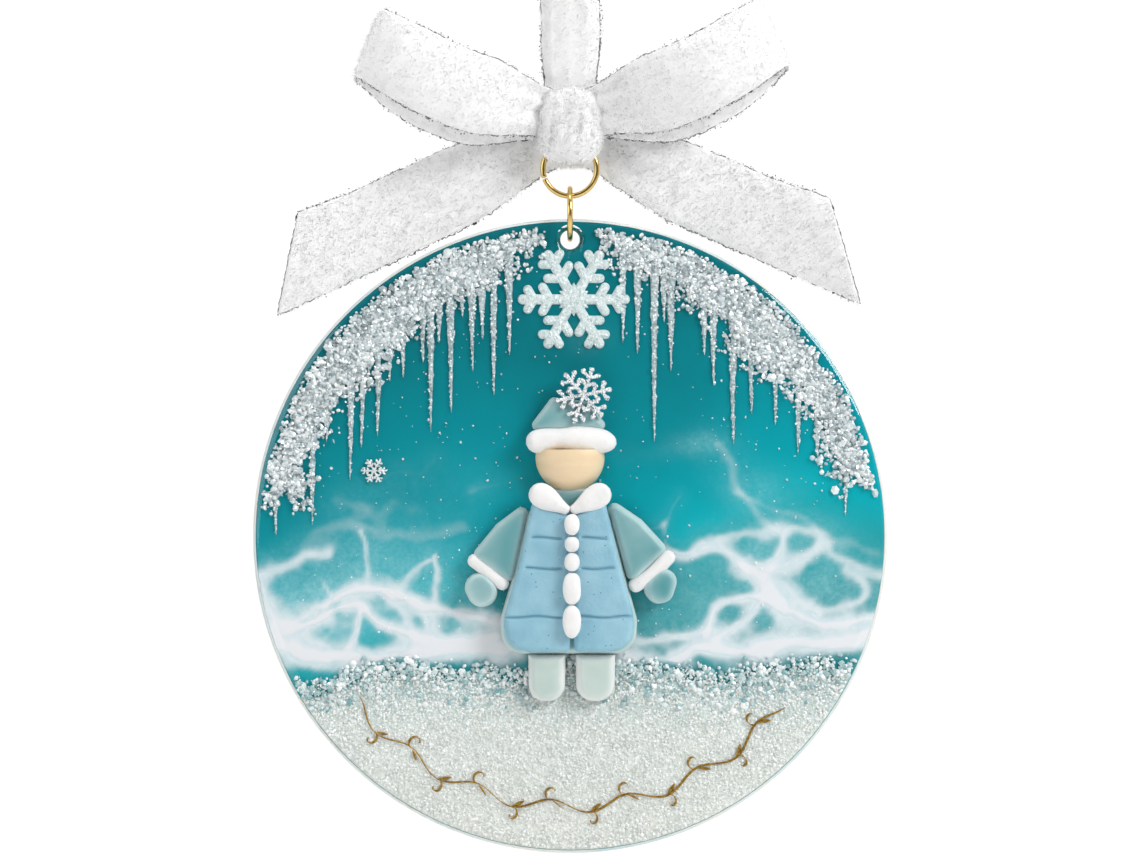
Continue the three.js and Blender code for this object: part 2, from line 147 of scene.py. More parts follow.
def sweep(path, side, up, wide, deep, around, closed=False, square=1.0):
    # path point + side * wide * cos(a) + up * deep * sin(a), with both ends closed by a fan
    angle = np.linspace(0, 2 * np.pi, around, endpoint=False)
    c, s = bent(np.cos(angle), square), bent(np.sin(angle), square)
    wide, deep = np.broadcast_to(wide, len(path)), np.broadcast_to(deep, len(path))
    side, up = np.broadcast_to(side, path.shape), np.broadcast_to(up, path.shape)
    rings = path[:, None] + side[:, None] * (wide[:, None] * c)[..., None]
    rings = rings + up[:, None] * (deep[:, None] * s)[..., None]
    points = rings.reshape(-1, 3)
    faces = gridFaces(len(path), around, closed, True)
    if closed:
        return points, [faces]
    first, last = len(points), len(points) + 1
    a = np.arange(around)
    b = (a + 1) % around
    start = np.stack([np.full(around, first), b, a], -1)
    end = np.stack([np.full(around, last), a + first - around, b + first - around], -1)
    return np.vstack([points, path[0], path[-1]]), [faces, start, end]


def joined(shapes):
    # several (points, faces) shapes as one, their face numbers moved on
    points, faces, shift = [], [], 0
    for p, f in shapes:
        points.append(p)
        faces += [k + shift for k in f]
        shift += len(p)
    return np.vstack(points), faces


def softNoise(x, y, z, size, seed):
    # value noise: a hashed number at each corner of a cube of this size, blended by a smooth step
    x, y, z = (np.asarray(k, float) / size + seed * 17.3 for k in np.broadcast_arrays(x, y, z))
    i, j, k = np.floor(x), np.floor(y), np.floor(z)
    u, v, w = (t * t * (3 - 2 * t) for t in (x - i, y - j, z - k))

    def hashed(a, b, c):
        h = np.sin(a * 127.1 + b * 311.7 + c * 74.7) * 43758.5453
        return h - np.floor(h)

    total = 0
    for di in (0, 1):
        for dj in (0, 1):
            for dk in (0, 1):
                share = (u if di else 1 - u) * (v if dj else 1 - v) * (w if dk else 1 - w)
                total = total + share * hashed(i + di, j + dj, k + dk)
    return total * 2 - 1


def manyNoise(x, y, z, size, seed, octaves=3):
    # soft noise of halving sizes and halving strength, added up
    return sum(softNoise(x, y, z, size / 2**k, seed + k) / 2**k for k in range(octaves))


def nodeDepths(node):
    low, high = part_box(node)
    return low.y / mm, high.y / mm


def nodeBox(node):
    # the corners of a node's box in mm from the disc's middle
    return [np.array(corner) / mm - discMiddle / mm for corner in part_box(node)]


def smoothStep(low, high, value):
    # t * t * (3 - 2 * t), where t runs from 0 at low to 1 at high
    t = np.clip((value - low) / (high - low), 0, 1)
    return t * t * (3 - 2 * t)


def segmentDistance(x, z, a, b):
    # distance from each point to the straight line from a to b
    ax, az, bx, bz = *a, *b
    t = ((x - ax) * (bx - ax) + (z - az) * (bz - az)) / max((bx - ax) ** 2 + (bz - az) ** 2, 1e-9)
    t = np.clip(t, 0, 1)
    return np.hypot(x - ax - t * (bx - ax), z - az - t * (bz - az))


def lineDistance(x, z, corners):
    # the smallest of the distances to the line's straight parts
    return np.minimum.reduce([segmentDistance(x, z, a, b) for a, b in zip(corners, corners[1:])])


def outlineDistance(x, z, corners, roundness=0.0):
    # distance to the outline, set in by its corner rounding, less that rounding; negative inside
    p = np.asarray(corners, float)
    if np.sum(p[:, 0] * np.roll(p[:, 1], -1) - np.roll(p[:, 0], -1) * p[:, 1]) < 0:
        p = p[::-1]
    way = np.roll(p, -1, 0) - p
    way /= np.linalg.norm(way, axis=1, keepdims=True)
    inward = np.stack([-way[:, 1], way[:, 0]], -1)
    before = np.roll(inward, 1, 0)
    p = p + (before + inward) * (roundness / (1 + np.sum(before * inward, 1)))[:, None]
    inside = np.zeros(np.shape(x), bool)
    nearest = np.full(np.shape(x), 1e9)
    for a, b in zip(p, np.roll(p, -1, 0)):
        nearest = np.minimum(nearest, segmentDistance(x, z, a, b))
        if a[1] != b[1]:
            crosses = (a[1] > z) != (b[1] > z)
            inside ^= crosses & (x < (b[0] - a[0]) * (z - a[1]) / (b[1] - a[1]) + a[0])
    return np.where(inside, -nearest, nearest) - roundness


def plate(distance, box, step, front, back):
    # a flat piece cut from a grid where distance(x, z) is below 0. Points on its edge are pulled onto the outline
    # along the slope; front and back give the depth of each point from x, z and how far inside the edge it lies
    xs = np.arange(box[0] - step, box[1] + 2 * step, step)
    zs = np.arange(box[2] - step, box[3] + 2 * step, step)
    x, z = (k.copy() for k in np.meshgrid(xs, zs, indexing="ij"))
    used = distance(x[:-1, :-1] + step / 2, z[:-1, :-1] + step / 2) < 0
    used[0], used[-1], used[:, 0], used[:, -1] = False, False, False, False
    count = np.zeros(x.shape, int)
    for di in (0, 1):
        for dj in (0, 1):
            count[di:di + used.shape[0], dj:dj + used.shape[1]] += used
    edge = (count > 0) & (count < 4)
    ex, ez = x[edge], z[edge]
    tiny = step * 0.05
    for pull in range(4):
        d = distance(ex, ez)
        gx = (distance(ex + tiny, ez) - distance(ex - tiny, ez)) / (2 * tiny)
        gz = (distance(ex, ez + tiny) - distance(ex, ez - tiny)) / (2 * tiny)
        size = np.maximum(gx * gx + gz * gz, 0.05)
        move = np.stack([d * gx / size, d * gz / size], -1)
        length = np.linalg.norm(move, axis=1, keepdims=True)
        move *= np.minimum(1, 0.5 * step / np.maximum(length, 1e-9))
        ex, ez = ex - move[:, 0], ez - move[:, 1]
    x[edge], z[edge] = ex, ez
    number = np.full(x.shape, -1)
    kept = count > 0
    number[kept] = np.arange(kept.sum())
    x, z, onEdge = x[kept], z[kept], edge[kept]
    inside = np.where(onEdge, 0, np.maximum(-distance(x, z), 0))
    points = np.vstack([np.stack([x, front(x, z, inside), z], -1), np.stack([x, back(x, z, inside), z], -1)])
    i, j = np.nonzero(used)
    top = np.stack([number[i, j], number[i + 1, j], number[i + 1, j + 1], number[i, j + 1]], -1)
    half = int(kept.sum())
    walls = []
    for di, dj in ((1, 0), (0, 1)):
        other = used[di:, dj:] != used[:used.shape[0] - di, :used.shape[1] - dj]
        wi, wj = np.nonzero(other)
        wi, wj = wi + di, wj + dj
        a, b = number[wi, wj], number[wi + 1 - di, wj + 1 - dj]
        walls.append(np.stack([a, b, b + half, a + half], -1))
    return points, [top, top[:, ::-1] + half] + walls, np.concatenate([inside, inside])


def pillow(thick, rim, rise):
    # quarter round from the rim's own height up to full height over the rise
    def height(inside):
        t = np.clip(inside / rise, 0, 1)
        return rim + (thick - rim) * np.sqrt(1 - (1 - t) ** 2)
    return height


def flatAt(depth):
    # one depth for every point of a plate's side
    return lambda x, z, inside: np.full(x.shape, depth)


def lathe(profile, around):
    # profile of (radius, depth) turned about the disc's axis: radius * cos(a), depth, radius * sin(a)
    radius, depth = np.asarray(profile, float).T
    turn = np.linspace(0, 2 * np.pi, around, endpoint=False)
    points = np.stack([radius[:, None] * np.cos(turn), np.broadcast_to(depth[:, None], (len(radius), around)),
                       radius[:, None] * np.sin(turn)], -1).reshape(-1, 3)
    return points, capped([gridFaces(len(radius), around, False, True)], len(radius), around)


def chips(centres, sizes, seed, sides=6, flat=0.35, lean=1.0):
    # one small crystal, a ring of corners with a point in front and behind, turned and placed at every centre
    rng = np.random.default_rng(seed)
    turn = np.linspace(0, 2 * np.pi, sides, endpoint=False)
    ring = np.stack([np.cos(turn), np.zeros(sides), np.sin(turn)], -1)
    seedShape = np.vstack([ring, [[0, -flat, 0], [0, flat, 0]]])
    n = len(centres)
    axis = rng.normal(size=(n, 3))
    axis /= np.linalg.norm(axis, axis=1, keepdims=True)
    angle = rng.uniform(-lean, lean, n)
    k = np.zeros((n, 3, 3))
    k[:, 0, 1], k[:, 0, 2], k[:, 1, 2] = -axis[:, 2], axis[:, 1], -axis[:, 0]
    k -= np.transpose(k, (0, 2, 1))
    rotation = np.eye(3) + np.sin(angle)[:, None, None] * k + (1 - np.cos(angle))[:, None, None] * (k @ k)
    stretch = rng.uniform(0.75, 1.25, (n, 1, 3))
    shape = np.einsum("nij,nmj->nmi", rotation, seedShape * stretch) * np.asarray(sizes)[:, None, None]
    points = (centres[:, None] + shape).reshape(-1, 3)
    a = np.arange(sides)
    b = (a + 1) % sides
    one = np.vstack([np.stack([a, b, np.full(sides, sides)], -1),
                     np.stack([b, a, np.full(sides, sides + 1)], -1)])
    faces = (one[None] + (np.arange(n) * len(seedShape))[:, None, None]).reshape(-1, 3)
    tone = np.repeat(rng.uniform(0, 1, n), len(seedShape))
    return points, [faces], tone


def crystals(name, centres, sizes, seed, shape, material, slot, standsFor=(), tones=(0.0, 1.0)):
    # a piece of chips; their tones run from the first tone over the given range
    points, faces, tone = chips(centres, sizes, seed, *shape)
    newPiece(name, points, faces, material, "disc", standsFor, slot, {"tone": tones[0] + tones[1] * tone},
             smooth=False, outward=False)


def colour(code):
    # sRGB hex to linear, one channel at a time
    parts = [int(code[k:k + 2], 16) / 255 for k in (1, 3, 5)]
    return tuple(c / 12.92 if c <= 0.04045 else ((c + 0.055) / 1.055) ** 2.4 for c in parts) + (1.0,)


def addNode(tree, kind, settings=None, links=None):
    # a node with its settings, which name an input or a property, and the outputs linked into it
    node = tree.nodes.new(kind)
    for key, value in (settings or {}).items():
        if key == "stops":
            while len(node.color_ramp.elements) < len(value):
                node.color_ramp.elements.new(0.5)
            for stop, (place, code) in zip(node.color_ramp.elements, value):
                stop.position, stop.color = place, colour(code)
        elif isinstance(key, int) or key in node.inputs:
            node.inputs[key].default_value = value
        else:
            setattr(node, key, value)
    for key, source in (links or {}).items():
        tree.links.new(source, node.inputs[key])
    return node


def newMaterial(name, settings):
    material = bpy.data.materials.new(name)
    material.use_nodes = True
    tree = material.node_tree
    shader = tree.nodes["Principled BSDF"]
    for key, value in settings.items():
        shader.inputs[key].default_value = value
    place = addNode(tree, "ShaderNodeTexCoord").outputs["Object"]
    return material, tree, shader, place


def perMm(size):
    # pattern scale for features of this size, since object coordinates are in metres
    return 1 / (size * mm)


def noise(tree, place, size, detail, rough=0.5, distortion=0.0):
    # soft noise with features of this size
    return addNode(tree, "ShaderNodeTexNoise", {
        "Scale": perMm(size), "Detail": detail, "Roughness": rough, "Distortion": distortion},
        {"Vector": place}).outputs["Fac"]


def cells(tree, place, size):
    # the distance from the middle of each cell, and a colour of its own
    node = addNode(tree, "ShaderNodeTexVoronoi", {"Scale": perMm(size)}, {"Vector": place})
    return node.outputs["Distance"], node.outputs["Color"]


def ramp(tree, source, stops):
    # a colour read off the stops by the source
    return addNode(tree, "ShaderNodeValToRGB", {"stops": stops}, {"Fac": source}).outputs["Color"]


def mark(tree, name):
    # a value stored at every point of the piece
    return addNode(tree, "ShaderNodeAttribute", {"attribute_name": name}).outputs["Fac"]


def reckon(tree, operation, *terms, clamp=False):
    # one step of arithmetic on numbers and outputs
    numbers = {k: term for k, term in enumerate(terms) if isinstance(term, float)}
    sources = {k: term for k, term in enumerate(terms) if k not in numbers}
    return addNode(tree, "ShaderNodeMath", {
        "operation": operation, "use_clamp": clamp, **numbers}, sources).outputs[0]


def spread(tree, source, fromLow, fromHigh, low=0.0, high=1.0):
    # one range of values stretched over another and held inside it
    return addNode(tree, "ShaderNodeMapRange", {
        "From Min": fromLow, "From Max": fromHigh, "To Min": low, "To Max": high}, {"Value": source}).outputs[0]


def laidOver(tree, share, under, code):
    # the code's colour over the one under it, by the share
    return addNode(tree, "ShaderNodeMix", {"data_type": "RGBA", 7: colour(code)}, {0: share, 6: under}).outputs[2]


def addColour(tree, shader, source):
    tree.links.new(source, shader.inputs["Base Color"])


def addBump(tree, shader, height, depth):
    bump = addNode(tree, "ShaderNodeBump", {"Strength": 1.0, "Distance": depth * mm}, {"Height": height})
    tree.links.new(bump.outputs[0], shader.inputs["Normal"])


def clearResinMaterial():
    # epoxy casting resin, poured and polished: water clear, sharp highlights. Lamps reach what is inside
    material, tree, shader, place = newMaterial("castResinClearPolished", {
        "Base Color": colour("#fbfefe"), "Roughness": 0.02, "IOR": 1.5, "Transmission Weight": 1.0})
    light = addNode(tree, "ShaderNodeLightPath")
    clear = addNode(tree, "ShaderNodeBsdfTransparent", {"Color": (0.97, 0.99, 0.99, 1)}).outputs[0]
    surface = shader.outputs[0]
    for ray in ("Is Diffuse Ray", "Is Shadow Ray"):
        surface = addNode(tree, "ShaderNodeMixShader", None, {
            0: light.outputs[ray], 1: surface, 2: clear}).outputs[0]
    tree.links.new(surface, tree.nodes["Material Output"].inputs["Surface"])
    addBump(tree, shader, noise(tree, place, 14, 1.0), 0.02)
    return material


def oceanMaterial():
    # tinted resin: deep teal above, turquoise below, pale where white pigment has spread through it
    material, tree, shader, place = newMaterial("oceanResinTinted", {"Roughness": 0.6, "Specular IOR Level": 0.0})
    parts = addNode(tree, "ShaderNodeSeparateXYZ", None, {"Vector": place})
    tilt = reckon(tree, "MULTIPLY_ADD", parts.outputs["X"], -0.24, parts.outputs["Z"])
    sway = reckon(tree, "MULTIPLY_ADD", noise(tree, place, 26, 3.0), 0.03, tilt)
    middle = float(discMiddle[2]) + 0.015
    sea = ramp(tree, spread(tree, sway, middle - 0.02, middle + 0.05), [
        (0.0, "#238f96"), (0.12, "#219ea6"), (0.24, "#03adb9"), (0.36, "#019fac"), (0.55, "#038c98"),
        (0.75, "#047983"), (1.0, "#05727c")])
    cloud = noise(tree, place, 3.0, 5.0, 0.6, 0.6)
    cloudy = spread(tree, cloud, 0.3, 0.7, 0.55, 1.25)
    spotty = spread(tree, noise(tree, place, 0.55, 3.0, 0.7), 0.35, 0.7, 0.75, 1.35)
    sprayed = reckon(tree, "MULTIPLY", cloudy, spotty)
    curdled = spread(tree, cloud, 0.3, 0.7, 0.8, 1.12)
    hazy = laidOver(tree, reckon(tree, "MULTIPLY", mark(tree, "haze"), sprayed, clamp=True), sea, "#8ccad2")
    foamy = laidOver(tree, reckon(tree, "MULTIPLY", mark(tree, "lace"), curdled, clamp=True), hazy, "#e2eaee")
    addColour(tree, shader, foamy)
    return material


def foamMaterial():
    # opaque white resin pigment, curdled by heat: soft white, thin places show the sea as pale blue
    material, tree, shader, place = newMaterial("foamPigmentWhite", {
        "Roughness": 0.5, "Subsurface Weight": 0.15, "Subsurface Radius": (0.0006, 0.0007, 0.0008),
        "Specular IOR Level": 0.1})
    share = reckon(tree, "MULTIPLY_ADD", noise(tree, place, 1.2, 4.0), 0.5, mark(tree, "thick"))
    addColour(tree, shader, ramp(tree, share, [(0.25, "#d5e5ea"), (0.7, "#e2e9ee"), (1.0, "#eeeef2")]))
    return material


def glitterMaterial(name, stops, metallic, roughness):
    # cut film glitter: each flake gets a random brightness, a painted glint standing in for how each flat mirror
    # or clear chip catches the light
    material, tree, shader, place = newMaterial(name, {"Metallic": metallic, "Roughness": roughness, "IOR": 1.5})
    # painted glint: the tone mark, one random value per flake, sets how bright the flake is
    share = reckon(tree, "MULTIPLY_ADD", noise(tree, place, 0.8, 2.0), 0.25, mark(tree, "tone"), clamp=True)
    addColour(tree, shader, ramp(tree, share, stops))
    return material


def crushedMaterial(name, low, high, grit, bump, metallic=0.0, roughness=0.5):
    # fine glitter pressed together: each grain is a cell with a random brightness, a painted glint, and its own
    # lean from the bump
    material, tree, shader, place = newMaterial(name, {"Metallic": metallic, "Roughness": roughness})
    distance, tone = cells(tree, place, grit)
    # painted glint: each cell's random colour sets how bright that grain looks
    addColour(tree, shader, ramp(tree, tone, [(0.1, low), (0.85, high)]))
    addBump(tree, shader, distance, bump)
    return material


def clayMaterial(name, base, shade, speck, speckShare, seam):
    # oven-baked polymer clay: matt, softly lit through, unevenly worn, with stray specks of glitter dust, and
    # painted shade along its pressed seams
    material, tree, shader, place = newMaterial(name, {
        "Roughness": 0.62, "Subsurface Weight": 0.12, "Subsurface Radius": (0.0008, 0.0007, 0.0006), "IOR": 1.5})
    body = ramp(tree, noise(tree, place, 4.0, 5.0, 0.55), [(0.3, shade), (0.7, base)])
    distance, tone = cells(tree, place, 0.9)
    chance = addNode(tree, "ShaderNodeSeparateColor", None, {"Color": tone}).outputs[0]
    small = reckon(tree, "LESS_THAN", distance, 0.12)
    few = reckon(tree, "LESS_THAN", chance, speckShare)
    specked = laidOver(tree, reckon(tree, "MULTIPLY", small, few), body, speck)
    # painted shade: the seam colour is laid over the clay by the groove-depth mark, darkest where the grooves are
    # deepest
    addColour(tree, shader, laidOver(tree, mark(tree, "seam"), specked, seam))
    addBump(tree, shader, noise(tree, place, 0.55, 4.0, 0.6), 0.09)
    return material


def seaGlassMaterial(name, core, rim, through):
    # tumbled sea glass: frosted by sand, paler at its worn edges, partly real frosting and partly a painted
    # highlight along the rim, darker and clearer in the middle
    material, tree, shader, place = newMaterial(name, {
        "Roughness": 0.42, "IOR": 1.45, "Transmission Weight": through, "Subsurface Weight": 0.2,
        "Subsurface Radius": (0.001, 0.0014, 0.0014)})
    frosting = noise(tree, place, 9.0, 3.0, distortion=0.4)
    # painted highlight: the edge mark lifts the colour towards the rim colour near the outline, on top of the worn
    # frosting
    share = reckon(tree, "MULTIPLY_ADD", frosting, 0.75, mark(tree, "edge"))
    addColour(tree, shader, ramp(tree, share, [(0.22, core), (0.95, rim)]))
    addBump(tree, shader, noise(tree, place, 0.25, 3.0), 0.02)
    return material


def metalMaterial(name, code, roughness, scratch, dark=None):
    # plated wire: mirror-like with faint drawing marks
    material, tree, shader, place = newMaterial(name, {
        "Base Color": colour(code), "Metallic": 1.0, "Roughness": roughness})
    marks = noise(tree, place, 0.3, 3.0)
    rough = spread(tree, marks, 0.0, 1.0, roughness * 0.7, roughness * 1.5)
    tree.links.new(rough, shader.inputs["Roughness"])
    addBump(tree, shader, marks, scratch)
    if dark:
        addColour(tree, shader, ramp(tree, marks, [(0.42, dark), (0.58, code)]))
    return material


def velvetMaterial(name, low, high, sheen, relief):
    # polyester velvet: short upright pile, white with painted grey shade in patches where the pile would lie over,
    # soft sheen at glancing angles
    material, tree, shader, place = newMaterial(name, {
        "Roughness": 0.9, "Sheen Weight": sheen, "Sheen Roughness": 0.4, "Subsurface Weight": 0.3,
        "Subsurface Radius": (0.001, 0.001, 0.001)})
    nap = noise(tree, place, 2.2, 5.0, 0.65)
    # painted shade: random greyer patches for pile that lies over and catches less light
    addColour(tree, shader, ramp(tree, nap, [(0.3, low), (0.62, high)]))
    addBump(tree, shader, noise(tree, place, 0.45, 5.0, 0.7), relief)
    return material


def sandMaterial():
    # glitter sand: each grain a cell with a random brightness, a painted glint, washed pale below and blue-green
    # at the waterline
    material, tree, shader, place = newMaterial("glitterDustSand", {"Roughness": 0.55, "Specular IOR Level": 0.2})
    distance, tone = cells(tree, place, 0.55)
    parts = addNode(tree, "ShaderNodeSeparateXYZ", None, {"Vector": place})
    height = reckon(tree, "MULTIPLY_ADD", noise(tree, place, 5, 4.0), 0.006, parts.outputs["Z"])
    level = spread(tree, height, float(discMiddle[2]) - 0.049, float(discMiddle[2]) - 0.015)
    wash = ramp(tree, level, [
        (0.0, "#d9dad3"), (0.2, "#ecece6"), (0.6, "#e9ece8"), (0.76, "#d6e2e0"),
        (0.9, "#a9c7c9"), (1.0, "#6fabb0")])
    # painted glint: each grain's cell scales the wash brighter or duller
    washed = addNode(tree, "ShaderNodeVectorMath", {"operation": "SCALE"}, {
        "Vector": wash, "Scale": spread(tree, tone, 0.0, 1.0, 0.82, 1.12)})
    addColour(tree, shader, washed.outputs[0])
    addBump(tree, shader, distance, 0.2)
    return material


def woodMaterial():
    # birch bead in a peach satin finish: long soft grain, thin coat
    material, tree, shader, place = newMaterial("birchBeadPeachSatin", {
        "Roughness": 0.42, "Coat Weight": 0.15, "Coat Roughness": 0.3, "Subsurface Weight": 0.1,
        "Subsurface Radius": (0.0012, 0.0007, 0.0004)})
    stretched = addNode(tree, "ShaderNodeMapping", {"Scale": (1.0, 1.0, 4.0)}, {"Vector": place}).outputs[0]
    grain = noise(tree, stretched, 6.0, 4.0)
    addColour(tree, shader, ramp(tree, grain, [(0.25, "#e9cda4"), (0.75, "#f2dcba")]))
    addBump(tree, shader, grain, 0.01)
    return material


def pearlMaterial():
    # pearl pigment in poured resin: pale swirls of green, white and cream under a glossy coat, fine mica
    material, tree, shader, place = newMaterial("pearlResinPoured", {
        "Roughness": 0.3, "Coat Weight": 0.5, "Coat Roughness": 0.1, "Subsurface Weight": 0.1})
    flow = noise(tree, place, 18, 5.0, distortion=1.4)
    addColour(tree, shader, ramp(tree, flow, [
        (0.25, "#cfe2e3"), (0.45, "#edf1ee"), (0.6, "#f6f2ea"), (0.8, "#dfe9ea")]))
    addBump(tree, shader, noise(tree, place, 0.4, 2.0), 0.02)
    return material


clearResin = clearResinMaterial()
oceanResin = oceanMaterial()
foamPigment = foamMaterial()
frostFlake = glitterMaterial("glitterFlakeSilverWhite", [
    (0.0, "#7f8c92"), (0.3, "#c3cdd1"), (0.6, "#e8eef0"), (1.0, "#ffffff")], 0.35, 0.28)
frostBed = crushedMaterial("glitterDustSilver", "#8fa5aa", "#e3eaec", 0.5, 0.2, 0.2, 0.4)
sandFlake = glitterMaterial("glitterGrainSand", [
    (0.0, "#c9d3d1"), (0.2, "#e1e5e1"), (0.6, "#f3f3ee"), (1.0, "#ffffff")], 0.05, 0.35)
shoreFlake = glitterMaterial("glitterGrainShore", [
    (0.0, "#62a3a8"), (0.3, "#a3c3c6"), (0.6, "#d3e0e1"), (1.0, "#ffffff")], 0.1, 0.3)
whiteGlitter = crushedMaterial("glitterPressedWhite", "#c3d6d6", "#f4fafa", 0.45, 0.14, 0.1, 0.4)
silverGlitter = crushedMaterial("glitterPressedSilver", "#7b8f99", "#c6d2d9", 0.4, 0.2, 0.45, 0.32)
# the last colour of each clay is painted shade for its pressed seams
whiteClay = clayMaterial("polymerClayWhiteBaked", "#f6f5f4", "#eae9e9", "#d3d8da", 0.1, "#c9ced0")
blueClay = clayMaterial("polymerClayBlueBaked", "#a0cbdb", "#86b8cc", "#4f7f96", 0.35, "#7fb0c6")
seaGlass = seaGlassMaterial("seaGlassFrostedTeal", "#56aab0", "#dcf1f1", 0.25)
paleSeaGlass = seaGlassMaterial("seaGlassFrostedPale", "#b9d3cb", "#f7fbf8", 0.15)
goldWire = metalMaterial("brassWirePlatedGold", "#e2c27c", 0.14, 0.004)
goldPaint = metalMaterial("goldPaintBurnished", "#c39c48", 0.38, 0.02, "#94702a")
edgeThread = metalMaterial("lurexThreadSilver", "#9c9da1", 0.3, 0.01, "#38383c")
velvet = velvetMaterial("velvetRibbonWhite", "#f4f4f5", "#ffffff", 0.3, 0.07)
velvetPile = velvetMaterial("velvetPileWhite", "#fdfdfd", "#ffffff", 0.5, 0.004)
sandBed, wood, pearl = sandMaterial(), woodMaterial(), pearlMaterial()
print("materials made")


# strokes of white pigment on the painted layer: strength, width, and points in mm from the middle
foamStrokes = [
    (0.75, 0.7, [[-50, -6.5], [-46.6, -6.2], [-44, -4.9], [-41.8, -3.3], [-37.6, -2.7]]),
    (0.9, 1.0, [[-49.2, -7.2], [-46.9, -12], [-45.6, -16.9]]),
    (1.0, 0.9, [[-39.5, -11.1], [-36, -9.3], [-31.8, -8.5], [-27.9, -8.6], [-24.7, -9.8], [-21.5, -11],
                [-18.3, -11.8], [-15.1, -12.6], [-10.6, -14], [-6, -14.6]]),
    (1.0, 0.8, [[-44.8, -15.2], [-40.8, -13.3], [-37, -11.9], [-33.7, -11.4], [-31.2, -12.7], [-27.3, -14.9],
                [-23.1, -15.6], [-18.3, -16.5], [-12, -16.2]]),
    (0.9, 0.6, [[-44.5, -14], [-41.5, -11.8], [-39.2, -11.2]]),
    (0.9, 0.45, [[-33.2, -11.6], [-33.4, -14.5], [-34.5, -18]]),
    (0.6, 0.5, [[-31.8, -8.5], [-31.2, -3.3], [-32.5, 0.9]]),
    (0.6, 0.4, [[-26.7, -8.8], [-25.4, -6.6], [-22.5, -4]]),
    (0.7, 0.55, [[-21.3, -11], [-21.3, -7.2], [-21.8, -3.3]]),
    (0.5, 0.4, [[-38.9, -7.6], [-38, -10.4]]),
    (0.8, 0.7, [[-28, -9], [-25.8, -12.2], [-24.2, -15.2]]),
    (0.7, 0.7, [[-24.5, -10], [-22.6, -12.5], [-21.6, -15.5]]),
    (0.6, 1.5, [[-46, -17], [-42, -17.2], [-38, -18.2]]),
    (0.38, 1.2, [[-40.4, -0.1], [-36, 1.5], [-33.1, 2.1], [-29.9, 0.9], [-23.1, 0.2], [-16.7, 0.9]]),
    (0.3, 1.0, [[-36.6, 5.7], [-32.5, 4.7], [-29.5, 3.8], [-27.3, 5.7]]),
    (0.26, 0.6, [[-30.9, 8.5], [-27.5, 10.5], [-23.5, 10.2], [-21, 12]]),
    (0.22, 0.5, [[-16, 7], [-11, 8.6], [-7, 8.2]]),
    (0.2, 1.2, [[-25, 4.6], [-19, 5.8], [-15, 9]]),
    (0.85, 0.7, [[13, -2.2], [15.7, -2.4], [18.5, -2.8], [21.9, -1.7], [24.6, -2.4], [26.7, -4.1], [28.4, -6.5],
                 [30.1, -8.2], [32.8, -10.6]]),
    (0.6, 0.7, [[21.6, -1.6], [23.6, -0.7], [27.4, 0.3], [32.5, 0.7], [36.9, 0.7], [39.7, -1.4], [41, -3.4],
                [44.5, -5.1], [49, -5.9]]),
    (0.42, 0.9, [[22.2, 14.2], [24.6, 11.3], [27.4, 6.8], [29.7, 3.4], [31.1, 1]]),
    (0.3, 0.5, [[27.4, 6.8], [32.5, 4.1], [36.9, 2.4], [39.3, -0.7]]),
    (0.85, 0.9, [[27.4, -4.9], [30.8, -4.4], [32.6, -3], [33.4, -0.5]]),
    (0.85, 1.0, [[31, -5.1], [34.5, -4.9], [37.4, -4], [39.2, -1.6]]),
    (0.9, 0.7, [[27, -4.5], [29.7, -6.2], [31.8, -8.9], [33.1, -11]]),
    (0.95, 0.7, [[22.2, -14.6], [23.2, -12], [26.6, -10.1], [30.1, -9.6], [31.6, -10.4]]),
    (0.9, 0.6, [[30.6, -10], [29.6, -11.8], [26.8, -14.6], [24, -16]]),
    (0.95, 0.8, [[31.6, -10.6], [35.5, -12.2], [40, -13.6], [44, -14], [48.5, -12.5]]),
    (0.7, 0.8, [[33, -7.8], [35.5, -10.2], [40, -11.6], [45.5, -10.8], [46.5, -8], [43, -5.8]]),
    (0.85, 0.6, [[9, -16.1], [12, -16.9], [15.5, -16], [19.2, -15.1], [22.4, -14.3]]),
    (0.3, 0.4, [[11.5, 1.4], [14.4, 2.7], [17, 5.6]]),
    (0.4, 0.4, [[14.4, 2.6], [14.6, -0.6], [16, -2.6]]),
    (0.2, 0.4, [[7.2, 12.6], [11, 12.4], [15.5, 12.9]]),
    (1.0, 1.7, [[-47.4, -16.6], [-44, -18.4], [-40, -18.7], [-36, -19.2], [-31, -19.4], [-26, -18.9], [-22, -17.7],
                [-18, -17.6], [-13, -17.9], [-8.5, -18.4]]),
    (1.0, 1.4, [[8.6, -18.3], [11.5, -20.2], [15, -20.6], [18, -18.9], [20.5, -17], [23.5, -17.2], [27, -18.6],
                [31, -18.2]]),
    (1.0, 1.9, [[30, -17.4], [34.5, -16.2], [40, -16.6], [45, -16.6], [48, -15]]),
    (0.35, 0.9, [[44, -1.2], [46.5, -2.4], [48.2, -2.6]]),
]
# paler patches of the sea: strength, middle, half sizes
cloudBlobs = [
    (0.42, [19.8, 14.4], [4.4, 2.2]), (0.3, [30, 7.5], [6, 3.5]), (0.5, [40.4, -8.2], [7, 3.4]),
    (0.4, [20, -9], [7, 6]), (0.45, [-30, -4], [12, 5]), (0.35, [-36, -9], [10, 6]), (0.3, [-16, -8], [8, 6]),
    (0.4, [-43, -10], [6, 6]), (0.3, [33, -1.5], [8, 5]), (0.25, [12, -12], [8, 7]), (0.16, [2.5, 31], [4, 2.4]),
]


